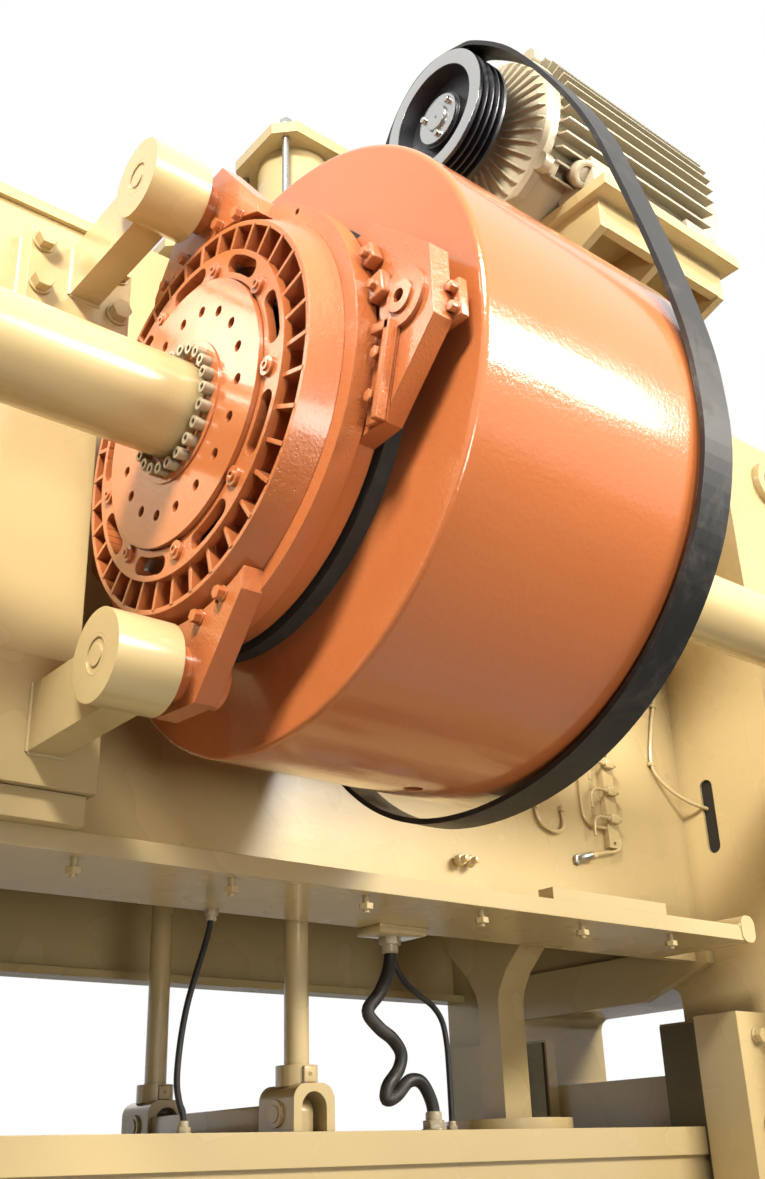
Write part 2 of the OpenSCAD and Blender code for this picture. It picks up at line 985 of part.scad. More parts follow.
lug_hole_r = 62;
brake_x0 = -150;
brake_x1 = -98;
lug_x0 = -195;
lug_x1 = -143;
lug_ring_x1 = -45;
lower_lug_a = -94;
ring_bore_r = 330;
side_pitch_r = lug_pitch_r + 5;
side_bush_r = 36;
lug_bolt_at = [[165, 480], [78, 507]];
pin_r = 45;
boss_x0 = -385;
boss_x1 = -235;

module brake_ring() {
    color(ORANGE)
        at_shaft()
            difference() {
                union() {
                    rotate([45, 0, 0])
                        bar_x(brake_x0, brake_x1, brake_ring_r);
                    difference() {
                        for (a = [90, lower_lug_a])
                            lug(a, lug_x0, lug_x1, end_lug);
                        bar_x(lug_x0 - over, brake_x0, housing_r + 3);
                    }
                }
                bar_x(brake_x0 - over, brake_x1 + over, ring_bore_r);
                for (a = [90, lower_lug_a])
                    rotate([-a, 0, 0]) {
                        translate([0, -lug_pitch_r, 0])
                            bar_x(lug_x0 - over, brake_x1 + over, lug_hole_r);
                        for (s = [-1, 1])
                            translate([0, -490, s * 141])
                                bar_x(lug_x0 - over, lug_x0 + 25, 8);
                    }
                rotate([-50, 0, 0])
                    translate([0, -brake_ring_r + 20, 0])
                        bar_x(brake_x0 - over, brake_x0 + 20, 8);
            }
}

module lug_ring() {
    color(ORANGE)
        at_shaft()
            difference() {
                union() {
                    bar_x(brake_x1, lug_ring_x1, lug_ring_r);
                    for (a = [0, 180])
                        lug(a, brake_x1 + 4, lug_ring_x1, side_lug);
                    for (a = [0, 180])
                        rotate([-a, 0, 0])
                            translate([0, -side_pitch_r, 0])
                                bar_x(brake_x1 - 6, lug_ring_x1 - 2, 66);
                }
                bar_x(brake_x1 - over, lug_ring_x1 + over, ring_bore_r);
                for (a = [0, 180])
                    rotate([-a, 0, 0])
                        translate([0, -side_pitch_r, 0])
                            bar_x(brake_x1 - 8, lug_ring_x1 + over, side_bush_r);
            }
}

module lug_bushes() {
    color(ORANGE)
        at_shaft() {
            for (a = [90, lower_lug_a])
                rotate([-a, 0, 0])
                    translate([0, -lug_pitch_r, 0])
                        ring_x(boss_x1 + gap, brake_x1, lug_hole_r - fit, pin_r + fit);
            for (a = [0, 180])
                rotate([-a, 0, 0])
                    translate([0, -side_pitch_r, 0])
                        ring_x(brake_x1 - 12, lug_ring_x1, side_bush_r - fit, 15);
        }
}

module lug_bolts() {
    color(ORANGE)
        at_shaft()
            for (a = [90, lower_lug_a])
                rotate([-a, 0, 0])
                    for (s = [-1, 1], v = lug_bolt_at)
                        translate([lug_x0, -v[1], s * v[0]])
                            rotate([0, -90, 0])
                                hex_head(26, 20);
}

friction_r = 530;

module friction_disc() {
    color(DARK)
        at_shaft()
            ring_x(-36, 0, friction_r, 260);
}

// Flywheel: heavy rim, full left face and a dished right side
rim_t = 150;
web_t2 = 190;
wheel_hub_r = 245;
bearing_r = 165;
drum_round = 14;
barring_n = 2;
barring_x = 479;

module flywheel_profile() {
    polygon(concat([[bearing_r, 0], [drum_r - drum_round, 0]],
        [for (a = [-80:10:-10]) [drum_r - drum_round + drum_round * cos(a),
            drum_round + drum_round * sin(a)]],
        [[drum_r, drum_round], [drum_r, drum_w - drum_round]],
        [for (a = [10:10:80]) [drum_r - drum_round + drum_round * cos(a),
            drum_w - drum_round + drum_round * sin(a)]],
        [[drum_r - drum_round, drum_w], [drum_r - rim_t, drum_w],
            [drum_r - rim_t - 40, web_t2 + 30], [drum_r - rim_t - 70, web_t2],
            [wheel_hub_r + 30, web_t2], [wheel_hub_r, web_t2 + 30], [wheel_hub_r, drum_w - 60],
            [bearing_r, drum_w - 60]]));
}

module flywheel() {
    color(ORANGE)
        at_shaft()
            difference() {
                rotate([0, 90, 0])
                    rotate_extrude()
                        flywheel_profile();
                translate([barring_x, 0, 0])
                    for (k = [0:barring_n - 1])
                        rotate([-(-96 + k * 360 / barring_n), 0, 0])
                            translate([0, -drum_r - over, 0])
                                rotate([-90, 0, 0])
                                    cylinder(h = 90, r = 24);
            }
}

module flywheel_bearings() {
    color(STEEL)
        at_shaft()
            for (x = [20, drum_w - 200])
                ring_x(x, x + 120, bearing_r - fit, shaft_r - shaft_step + fit);
}

module flywheel_cover() {
    color(ORANGE)
        at_shaft()
            ring_x(drum_w - 60, drum_w - 42, wheel_hub_r - 10, shaft_r - shaft_step + 3);
}

// Torque arms: boss, bar and base plate in one weldment
arm_x0 = -352;
arm_x1 = -269;
arm_h = 157;
base_y0 = -962;
base_x0 = -1245;
base_x1 = -952;
upper_base = [4060, 380];
lower_base = [2940, 300];

module torque_arm(y, z, base, lift) {
    difference() {
        union() {
            translate([drum_x, y, z])
                bar_x(boss_x0, boss_x1, boss_r);
            translate([drum_x + arm_x0, y, z - arm_h / 2 + lift])
                cube([arm_x1 - arm_x0, base_y0 - y + over, arm_h]);
            translate([base_x0, base_y0, base[0]])
                cube([base_x1 - base_x0, deck_edge_y - base_y0, base[1]]);
        }
        translate([drum_x, y, z])
            bar_x(boss_x0 - over, boss_x1 + over, pin_r + fit);
    }
}

upper_y = shaft_y;
upper_z = shaft_z + lug_pitch_r;
lower_y = shaft_y - lug_pitch_r * cos(lower_lug_a);
lower_z = shaft_z + lug_pitch_r * sin(lower_lug_a);

module torque_arm_upper() {
    color(CREAM)
        torque_arm(upper_y, upper_z, upper_base, 5);
}

module torque_arm_lower() {
    color(CREAM)
        torque_arm(lower_y, lower_z, lower_base, -20);
}

module torque_pins() {
    color(CREAM)
        for (p = [[upper_y, upper_z], [lower_y, lower_z]])
            translate([drum_x, p[0], p[1]])
                difference() {
                    bar_x(boss_x0, brake_x1 - 2, pin_r);
                    ring_x(boss_x0 - over, boss_x0 + 3, 38, 24);
                }
}

module arm_bolts() {
    color(CREAM)
        for (x = [base_x0 + 36, base_x1 - 36], z = [4131, 4266, 4401])
            translate([x, base_y0, z - 8])
                rotate([90, 0, 0])
                    hex_head(50, 36);
}

module arm_stop_block() {
    color(CREAM)
        translate([base_x0, deck_edge_y - 45, crown_z + deck_t])
            cube([base_x1 - base_x0 - 15, 45, 68]);
}

// Main motor on its plate above the flywheel
plate_top = 4910;
plate_t = 40;
mount_x0 = 240;
mount_x1 = 914;
mount_y0 = -1700;
gusset_h = 700;
frame_x0 = 905;
frame_x1 = 1650;
fin_n = 44;
fin_h = 46;
shield_r = 305;
axle_r = 42;

module motor_mount() {
    reach = back_y - mount_y0;
    color(CREAM) {
        translate([mount_x0, mount_y0, plate_top - plate_t])
            cube([mount_x1 - mount_x0, reach, plate_t]);
        for (x = [mount_x0 + 60, (mount_x0 + mount_x1) / 2, mount_x1 - 30])
            translate([x, back_y, plate_top - plate_t + over])
                rotate([90, 0, -90])
                    linear_extrude(height = 30)
                        polygon([[0, 0], [reach - 60, 0], [reach - 60, -110],
                            [reach * 0.44, -330], [0, -gusset_h]]);
        translate([mount_x0 + 30, mount_y0 + 60, plate_top - plate_t - 105])
            cube([mount_x1 - mount_x0 - 60, 30, 105 + over]);
    }
}

module motor_frame() {
    foot_z = plate_top - shaft_z - motor_up;
    color(PALE)
        at_motor() {
            difference() {
                union() {
                    bar_x(frame_x0, frame_x1, motor_r);
                    for (k = [0:fin_n - 1])
                        if (abs(k * 360 / fin_n - 270) > 40)
                            rotate([-k * 360 / fin_n, 0, 0])
                                translate([frame_x0 + 12, -motor_r - fin_h, -3.5])
                                    cube([frame_x1 - frame_x0 - 24, fin_h + 12, 7]);
                }
                translate([frame_x0 - over, -400, foot_z - 100])
                    cube([frame_x1 - frame_x0 + 2 * over, 800, 100]);
                bar_x(frame_x0 - over, frame_x0 + 210, axle_r + fit);
            }
            for (x = [mount_x0 - drum_x + 12, frame_x1 - 150], s = [-1, 1])
                translate([x, s * 225 - 75, foot_z])
                    cube([120, 150, 110]);
            translate([frame_x0 + 160, motor_r - 40, -110])
                cube([300, 190, 220]);
        }
}

module shield_profile() {
    polygon([[axle_r + fit, -112], [84, -112], [98, -106], [140, -92], [262, -56],
        [shield_r - 14, -44], [shield_r, -30], [shield_r, 0], [axle_r + fit, 0]]);
}

shield_fin_n = 40;

module motor_shield() {
    color(PALE)
        at_motor()
            difference() {
                union() {
                    translate([frame_x0, 0, 0])
                        rotate([0, 90, 0])
                            rotate_extrude()
                                shield_profile();
                    for (k = [0:shield_fin_n - 1])
                        rotate([-k * 360 / shield_fin_n, 0, 0])
                            translate([frame_x0, -3, 0])
                                rotate([90, 0, 0])
                                    translate([0, 0, -6])
                                        linear_extrude(height = 6)
                                            polygon([[-100, 152], [-66, 272], [-50, 286],
                                                [-40, 286], [-40, 152]]);
                    for (k = [0:3])
                        rotate([-45 - k * 90, 0, 0])
                            translate([0, -shield_r - 6, 0])
                                bar_x(frame_x0 - 34, frame_x0, 30);
                }
                translate([frame_x0 - 120, -400, plate_top - shaft_z - motor_up - 100])
                    cube([140, 800, 100]);
            }
}

module motor_fan_cover() {
    color(PALE)
        at_motor()
            difference() {
                union() {
                    bar_x(frame_x1, frame_x1 + 90, 270);
                    bar_x(frame_x1 + 88, frame_x1 + 110, 235);
                }
                bar_x(frame_x1 + over, frame_x1 + 80, 258);
                for (r = [80, 130, 180], k = [0:11])
                    rotate([k * 30 + r, 0, 0])
                        translate([0, -r, 0])
                            bar_x(frame_x1 + 70, frame_x1 + 120, 14);
            }
}

module motor_shaft() {
    color(STEEL)
        at_motor()
            bar_x(652, frame_x0 + 200, axle_r);
}

// Sheave with V grooves round its rim, a dished face and a tapered bushing
sheave_w = 110;
groove_t = 20;

module sheave_profile() {
    pitch = (sheave_w - 14) / groove_n;
    polygon(concat([[axle_r + fit, 30], [95, 30], [95, 55], [165, 55], [172, 0], [sheave_r, 0]],
        [for (k = [0:groove_n - 1], c = [0:3])
            [c == 0 || c == 3 ? sheave_r : sheave_r - groove_t,
                7 + k * pitch + [2, 8, pitch - 8, pitch - 2][c]]],
        [[sheave_r, sheave_w], [172, sheave_w], [165, 80], [95, 80], [95, 105],
            [axle_r + fit, 105]]));
}

module motor_sheave() {
    color(DARK)
        at_motor()
            difference() {
                translate([640, 0, 0])
                    rotate([0, 90, 0])
                        rotate_extrude()
                            sheave_profile();
                translate([640, 0, 0])
                    round_x(3, 72, 30)
                        bar_x(28, 60, 8);
            }
}

// Slack belt: a closed smooth line round the flywheel and over the motor sheave, as
// distances in front of and above the flywheel's shaft
belt_line = [[24, 1702], [-98, 1667], [-176, 1622], [-313, 1470], [-450, 1230], [-560, 981],
    [-634, 718], [-700, 450], [-747, 208], [-762, 50], [-757, -120], [-712, -290],
    [-640, -425], [-540, -545], [-412, -648], [-268, -722], [-105, -768], [75, -784],
    [250, -764], [410, -702], [550, -602], [660, -476], [735, -326], [780, -150],
    [786, 60], [745, 330], [675, 640], [580, 930], [460, 1200], [330, 1420], [230, 1590],
    [130, 1680]];
belt_steps = 5;

function spline_at(p, k, t) = let (n = len(p), a = p[(k + n - 1) % n], b = p[k],
    c = p[(k + 1) % n], d = p[(k + 2) % n])
    0.5 * (2 * b + (c - a) * t + (2 * a - 5 * b + 4 * c - d) * t * t
        + (3 * b - a - 3 * c + d) * t * t * t);
function smooth_loop(p, m) = [for (k = [0:len(p) - 1], j = [0:m - 1]) spline_at(p, k, j / m)];
function unit(v) = v / norm(v);
function grown(p, h) = [for (k = [0:len(p) - 1])
    let (n = len(p), t = unit(p[(k + 1) % n] - p[(k + n - 1) % n])) p[k] + h * [t[1], -t[0]]];

module drive_belt() {
    line = smooth_loop(belt_line, belt_steps);
    color(DARK)
        at_shaft()
            translate([belt_x0, 0, 0])
                rotate([90, 0, 90])
                    linear_extrude(height = belt_w)
                        difference() {
                            polygon(grown(line, belt_t / 2));
                            polygon(grown(line, -belt_t / 2));
                            circle(r = drum_r + gap);
                            translate([motor_fwd, motor_up])
                                circle(r = sheave_r + gap);
                        }
}

// Lubrication manifold on the crown's back
manifold_x = 1318;
manifold_z = 3190;
manifold_w = 60;
manifold_h = 370;
manifold_t = 26;

module lube_manifold() {
    color(CREAM)
        translate([manifold_x, back_y - manifold_t, manifold_z])
            difference() {
                cube([manifold_w, manifold_t, manifold_h]);
                for (z = [18, manifold_h - 18])
                    translate([manifold_w / 2, -over, z])
                        rotate([-90, 0, 0])
                            cylinder(h = 12, r = 7);
            }
}

// Free cables, swept along points chosen by hand
cable_r = 8.5;
hose_r = 19.5;
cable_points = [[-343, -478, 2812], [-349, -478, 2770], [-366, -479, 2710], [-390, -480, 2640],
    [-414, -481, 2560], [-430, -481, 2470], [-436, -480, 2380], [-428, -480, 2330],
    [-414, -480, 2290], [-413, -480, 2250.5]];
hose_points = [[296, -478, 2780], [296, -478, 2740], [282, -479, 2690], [248, -480, 2630],
    [200, -481, 2575], [240, -482, 2530], [290, -482, 2500], [322, -481, 2460],
    [310, -480, 2415], [268, -480, 2370], [262, -480, 2335], [300, -480, 2345],
    [350, -480, 2385], [400, -480, 2380], [437, -480, 2320], [440, -480, 2251]];
sweep_sides = 8;

function sweep_frame(t, up) = let (s = unit(cross(t, up))) [s, cross(s, t)];
function open_at(p, k, t) = let (n = len(p), a = p[max(k - 1, 0)], b = p[k],
    c = p[min(k + 1, n - 1)], d = p[min(k + 2, n - 1)])
    0.5 * (2 * b + (c - a) * t + (2 * a - 5 * b + 4 * c - d) * t * t
        + (3 * b - a - 3 * c + d) * t * t * t);
function open_line(p, m) = concat([for (k = [0:len(p) - 2], j = [0:m - 1])
    open_at(p, k, j / m)], [p[len(p) - 1]]);

module sweep(points, r) {
    n = len(points);
    rings = [for (k = [0:n - 1])
        let (t = unit(points[min(k + 1, n - 1)] - points[max(k - 1, 0)]),
            f = sweep_frame(t, [0, 1, 0]))
        for (j = [0:sweep_sides - 1])
            points[k] + r * (cos(j * 360 / sweep_sides) * f[0] + sin(j * 360 / sweep_sides) * f[1])];
    faces = concat([[for (j = [0:sweep_sides - 1]) j]],
        [for (k = [0:n - 2], j = [0:sweep_sides - 1])
            [k * sweep_sides + j, (k + 1) * sweep_sides + j,
                (k + 1) * sweep_sides + (j + 1) % sweep_sides,
                k * sweep_sides + (j + 1) % sweep_sides]],
        [[for (j = [sweep_sides - 1:-1:0]) (n - 1) * sweep_sides + j]]);
    polyhedron(points = rings, faces = faces, convexity = 6);
}

module control_cable() {
    color(DARK)
        sweep(open_line(cable_points, 2), cable_r);
}

module air_hose() {
    color(DARK)
        sweep(open_line(hose_points, 2), hose_r);
}

bed();
bolster();
upright_left();
upright_right();
crown();
deck_plate();
deck_bolts();
rear_case();
rear_case_lid();
tie_rods();
tie_rod_nuts();
gibs();
gib_liners();
gib_bolts();
slide();
point_covers();
screw_forks();
wrist_pins();
pitman_left();
pitman_right();
balance_rods();
balance_pistons();
rod_feet();
foot_eyes();
foot_pins();
balance_tubes();
balance_caps();
balance_tie_rods();
gear_case_left();
gear_case_right();
bearing_flanges();
drive_shaft();
locking_ring();
locking_screws();
clutch_hub();
clutch_housing();
housing_bolts();
brake_ring();
lug_ring();
friction_disc();
lug_bushes();
lug_bolts();
flywheel();
flywheel_bearings();
flywheel_cover();
torque_arm_upper();
torque_arm_lower();
torque_pins();
arm_bolts();
arm_stop_block();
motor_mount();
motor_frame();
motor_shield();
motor_fan_cover();
motor_shaft();
motor_sheave();
drive_belt();
lube_manifold();
control_cable();
air_hose();
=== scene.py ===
"""Mechanical stamping press: finishes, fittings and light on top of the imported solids."""

import json
import math
import random

import bmesh
import bpy
from mathutils import Matrix, Vector


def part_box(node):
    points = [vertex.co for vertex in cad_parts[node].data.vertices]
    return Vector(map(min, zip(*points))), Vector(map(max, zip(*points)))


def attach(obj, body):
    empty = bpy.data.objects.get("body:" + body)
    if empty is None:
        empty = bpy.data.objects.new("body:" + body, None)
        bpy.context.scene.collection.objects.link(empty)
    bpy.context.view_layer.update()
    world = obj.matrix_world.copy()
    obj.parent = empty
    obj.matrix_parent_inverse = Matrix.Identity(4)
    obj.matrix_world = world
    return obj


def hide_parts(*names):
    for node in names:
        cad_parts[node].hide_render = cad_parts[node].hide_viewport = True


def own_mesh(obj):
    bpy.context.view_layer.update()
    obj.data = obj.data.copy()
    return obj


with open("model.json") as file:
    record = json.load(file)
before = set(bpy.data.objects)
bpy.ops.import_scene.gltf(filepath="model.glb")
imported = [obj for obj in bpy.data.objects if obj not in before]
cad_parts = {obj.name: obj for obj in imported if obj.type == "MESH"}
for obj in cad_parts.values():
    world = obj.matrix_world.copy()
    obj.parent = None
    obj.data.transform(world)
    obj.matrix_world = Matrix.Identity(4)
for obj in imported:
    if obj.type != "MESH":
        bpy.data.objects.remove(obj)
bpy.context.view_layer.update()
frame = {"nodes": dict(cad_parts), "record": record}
bpy.ops.object.select_all(action="DESELECT")
NODES = frame["nodes"]

# Main places of the press, in metres, as in the part's source
DRUM_X = -0.775
SHAFT_Y = -1.375
SHAFT_Z = 3.720
MOTOR_Y = SHAFT_Y + 0.024
MOTOR_Z = SHAFT_Z + 1.473
DECK_UNDERSIDE = 2.820
DECK_TOP = 2.870
SLIDE_TOP = 2.250
SLOT_Y = -0.625
SLOT_MIDDLE = 3.353
CROWN_BACK = -0.500
CASE_BACK = -0.895


# Camera
CAMERA_PLACE = (-2.1952, -3.4761, 2.1562)
CAMERA_RIGHT = (0.7757, -0.6303, -0.0320)
CAMERA_DOWN = (0.2440, 0.3463, -0.9059)
CAMERA_AHEAD = (0.5821, 0.6948, 0.4224)


def set_camera():
    data = bpy.data.cameras.new("photo_camera")
    data.sensor_fit = "AUTO"
    data.sensor_width = 36.0
    data.lens = 37.85
    data.clip_end = 120.0
    camera = bpy.data.objects.new("photo_camera", data)
    bpy.context.scene.collection.objects.link(camera)
    turned = Matrix.Identity(4)
    for row in range(3):
        turned[row][0] = CAMERA_RIGHT[row]
        turned[row][1] = -CAMERA_DOWN[row]
        turned[row][2] = -CAMERA_AHEAD[row]
        turned[row][3] = CAMERA_PLACE[row]
    camera.matrix_world = turned
    bpy.context.scene.camera = camera


set_camera()


# Shader helpers
def add(tree, kind, inputs=None, **settings):
    """Adds a node, sets its settings, and sets or links its inputs by name or place."""
    node = tree.nodes.new(kind)
    for key, value in settings.items():
        setattr(node, key, value)
    for key, value in (inputs or {}).items():
        if isinstance(value, bpy.types.NodeSocket):
            tree.links.new(value, node.inputs[key])
        else:
            node.inputs[key].default_value = value
    return node


def maths(tree, operation, first, second=0.0, third=0.0, clamp=False):
    node = add(tree, "ShaderNodeMath", {0: first, 1: second, 2: third}, operation=operation)
    node.use_clamp = clamp
    return node.outputs[0]


def ramp(tree, value, low, high, to_low=0.0, to_high=1.0):
    node = add(tree, "ShaderNodeMapRange", {0: value, 1: low, 2: high, 3: to_low, 4: to_high})
    node.interpolation_type = "SMOOTHSTEP"
    return node.outputs[0]


def mixed(tree, amount, first, second, blend="MIX"):
    node = tree.nodes.new("ShaderNodeMix")
    node.data_type = "RGBA"
    node.blend_type = blend
    for socket, value in zip((node.inputs[0], node.inputs[6], node.inputs[7]),
                             (amount, first, second)):
        if isinstance(value, bpy.types.NodeSocket):
            tree.links.new(value, socket)
        else:
            socket.default_value = value
    return node.outputs[2]


def noise(tree, place, scale, detail=3.0, rough=0.5, distort=0.0):
    node = add(tree, "ShaderNodeTexNoise", {"Vector": place, "Scale": scale, "Detail": detail,
                                            "Roughness": rough, "Distortion": distort})
    return node.outputs["Fac"]


def rgba(colour):
    return (colour[0], colour[1], colour[2], 1.0)


def new_group(name, inputs, outputs):
    """Starts a shader node group; inputs and outputs are (name, kind, default)."""
    group = bpy.data.node_groups.new(name, "ShaderNodeTree")
    for label, kind, value in inputs:
        socket = group.interface.new_socket(label, in_out="INPUT", socket_type=kind)
        if value is not None:
            socket.default_value = value
    for label, kind in outputs:
        group.interface.new_socket(label, in_out="OUTPUT", socket_type=kind)
    start = group.nodes.new("NodeGroupInput")
    end = group.nodes.new("NodeGroupOutput")
    return group, start.outputs, end.inputs


def edge_dust_and_shade_group():
    """Masks that follow the form: worn edges, painted shade in corners from ambient occlusion,
    dust on top, broad blotches.
    """
    group, given, result = new_group(
        "edge_dust_and_shade",
        [("Place", "NodeSocketVector", None), ("Edge Width", "NodeSocketFloat", 0.004),
         ("Corner Depth", "NodeSocketFloat", 0.12)],
        [("Edge", "NodeSocketFloat"), ("Corner", "NodeSocketFloat"),
         ("Top", "NodeSocketFloat"), ("Blotch", "NodeSocketFloat")])
    bevel = add(group, "ShaderNodeBevel", {"Radius": given["Edge Width"]}, samples=4)
    shape = add(group, "ShaderNodeNewGeometry")
    along = add(group, "ShaderNodeVectorMath",
                {0: bevel.outputs[0], 1: shape.outputs["Normal"]}, operation="DOT_PRODUCT")
    edge = ramp(group, along.outputs["Value"], 0.995, 0.90)
    broken = ramp(group, noise(group, given["Place"], 9.0, 5.0, 0.65), 0.50, 0.68)
    group.links.new(maths(group, "MULTIPLY", edge, broken), result["Edge"])
    # Corner mask: ambient occlusion, used as painted shade in corners, recesses and between
    # parts.
    shade = add(group, "ShaderNodeAmbientOcclusion",
                {"Distance": given["Corner Depth"]}, samples=4)
    group.links.new(ramp(group, shade.outputs["AO"], 0.75, 0.25), result["Corner"])
    facing = add(group, "ShaderNodeSeparateXYZ", {0: shape.outputs["Normal"]})
    group.links.new(ramp(group, facing.outputs["Z"], 0.55, 0.98), result["Top"])
    group.links.new(ramp(group, noise(group, given["Place"], 1.3, 2.0, 0.5, 0.3), 0.25, 0.80),
                    result["Blotch"])
    return group


def brushed_coat_group():
    """Normal and gloss variation of hand-applied machine enamel: peel, brush marks, specks."""
    group, given, result = new_group(
        "brushed_coat",
        [("Place", "NodeSocketVector", None), ("Peel", "NodeSocketFloat", 0.3),
         ("Strokes", "NodeSocketFloat", 0.2), ("Round", "NodeSocketFloat", 0.001)],
        [("Normal", "NodeSocketVector"), ("Variation", "NodeSocketFloat")])
    peel = noise(group, given["Place"], 85.0, 3.0, 0.6)
    stretched = add(group, "ShaderNodeMapping", {"Vector": given["Place"],
                                                 "Scale": (2.0, 26.0, 26.0)})
    strokes = noise(group, stretched.outputs[0], 1.0, 3.0, 0.55, 0.2)
    waves = noise(group, given["Place"], 5.0, 2.0, 0.5)
    height = maths(group, "MULTIPLY_ADD", peel, given["Peel"],
                   maths(group, "MULTIPLY", strokes, given["Strokes"]))
    height = maths(group, "MULTIPLY_ADD", waves, 1.4, height)
    bevel = add(group, "ShaderNodeBevel", {"Radius": given["Round"]}, samples=4)
    bump = add(group, "ShaderNodeBump", {"Strength": 0.35, "Distance": 0.003,
                                         "Height": height, "Normal": bevel.outputs[0]})
    group.links.new(bump.outputs[0], result["Normal"])
    group.links.new(noise(group, given["Place"], 3.1, 2.0, 0.5), result["Variation"])
    return group


def cast_skin_group():
    """Normal of a sand casting under paint or oil: pits and a soft pebble."""
    group, given, result = new_group(
        "cast_skin",
        [("Place", "NodeSocketVector", None), ("Depth", "NodeSocketFloat", 0.5),
         ("Round", "NodeSocketFloat", 0.004)],
        [("Normal", "NodeSocketVector"), ("Pits", "NodeSocketFloat")])
    pebble = noise(group, given["Place"], 140.0, 4.0, 0.6)
    lumps = noise(group, given["Place"], 28.0, 3.0, 0.5)
    cells = add(group, "ShaderNodeTexVoronoi", {"Vector": given["Place"], "Scale": 75.0})
    pits = ramp(group, cells.outputs["Distance"], 0.22, 0.05)
    height = maths(group, "MULTIPLY_ADD", lumps, 1.2, pebble)
    height = maths(group, "MULTIPLY_ADD", pits, -0.5, height)
    bevel = add(group, "ShaderNodeBevel", {"Radius": given["Round"]}, samples=4)
    bump = add(group, "ShaderNodeBump", {"Strength": given["Depth"], "Distance": 0.004,
                                         "Height": height, "Normal": bevel.outputs[0]})
    group.links.new(bump.outputs[0], result["Normal"])
    group.links.new(pits, result["Pits"])
    return group


EDGE_DUST_AND_SHADE = edge_dust_and_shade_group()
BRUSHED_COAT = brushed_coat_group()
CAST_SKIN = cast_skin_group()


def start_material(name, metallic=0.0, coat=0.0, coat_rough=0.1, specular=0.5):
    """A material with its Principled shader and Object coordinates."""
    material = bpy.data.materials.new(name)
    material.use_nodes = True
    tree = material.node_tree
    shader = tree.nodes["Principled BSDF"]
    shader.inputs["Metallic"].default_value = metallic
    shader.inputs["Coat Weight"].default_value = coat
    shader.inputs["Coat Roughness"].default_value = coat_rough
    shader.inputs["Specular IOR Level"].default_value = specular
    place = add(tree, "ShaderNodeTexCoord").outputs["Object"]
    return material, tree, shader, place


def use_group(tree, group, inputs):
    node = add(tree, "ShaderNodeGroup", node_tree=group)
    for key, value in inputs.items():
        if isinstance(value, bpy.types.NodeSocket):
            tree.links.new(value, node.inputs[key])
        else:
            node.inputs[key].default_value = value
    return node.outputs


def enamel(name, colour, deep, chip, gloss, peel, strokes, coat, width=0.003, cast=False):
    """Machine enamel: body colour, painted shade in corners, chipped edges, brush marks or cast
    skin.
    """
    material, tree, shader, place = start_material(name, coat=coat, coat_rough=gloss * 0.6)
    form = use_group(tree, EDGE_DUST_AND_SHADE, {"Place": place, "Edge Width": width})
    if cast:
        skin = use_group(tree, CAST_SKIN, {"Place": place, "Depth": 0.35})
        variation = form["Blotch"]
    else:
        skin = use_group(tree, BRUSHED_COAT, {"Place": place, "Peel": peel, "Strokes": strokes,
                                              "Round": width})
        variation = skin["Variation"]
    body = mixed(tree, maths(tree, "MULTIPLY", form["Blotch"], 0.40), rgba(colour), rgba(deep))
    # Painted shade: corners and recesses darkened towards a deep shade of the body colour.
    painted_corner_shade = maths(tree, "MULTIPLY", form["Corner"], 0.50)
    body = mixed(tree, painted_corner_shade, body, rgba([c * 0.45 for c in deep]))
    dust = maths(tree, "MULTIPLY", maths(tree, "MULTIPLY", form["Top"], variation), 0.35)
    body = mixed(tree, dust, body, rgba((0.42, 0.38, 0.31)))
    body = mixed(tree, maths(tree, "MULTIPLY", form["Edge"], 0.5), body, rgba(chip))
    tree.links.new(body, shader.inputs["Base Color"])
    rough = ramp(tree, variation, 0.1, 0.9, gloss * 0.85, gloss * 1.35)
    rough = maths(tree, "MULTIPLY_ADD", dust, 0.8, rough, clamp=True)
    tree.links.new(rough, shader.inputs["Roughness"])
    tree.links.new(skin["Normal"], shader.inputs["Normal"])
    return material


def bare_metal(name, colour, rough, lines=(1.0, 1.0, 1.0), oil=0.4):
    """Machined steel or bronze: fine tool lines, oil patches with painted shade in corners, and
    worn patches.
    """
    material, tree, shader, place = start_material(name, metallic=1.0)
    form = use_group(tree, EDGE_DUST_AND_SHADE, {"Place": place, "Edge Width": 0.002})
    turned = add(tree, "ShaderNodeMapping", {"Vector": place, "Scale": lines})
    grain = noise(tree, turned.outputs[0], 60.0, 2.0, 0.5)
    # Oil patches, with painted shade in corners laid over them.
    oil_and_corner_shade = maths(tree, "MULTIPLY", form["Blotch"], oil)
    oil_and_corner_shade = maths(tree, "MAXIMUM", oil_and_corner_shade, maths(tree, "MULTIPLY", form["Corner"], 0.7))
    tree.links.new(mixed(tree, oil_and_corner_shade, rgba(colour), rgba([c * 0.45 for c in colour])),
                   shader.inputs["Base Color"])
    tree.links.new(ramp(tree, grain, 0.2, 0.8, rough * 0.75, rough * 1.35),
                   shader.inputs["Roughness"])
    bump = add(tree, "ShaderNodeBump", {"Strength": 0.12, "Distance": 0.001, "Height": grain})
    tree.links.new(bump.outputs[0], shader.inputs["Normal"])
    return material


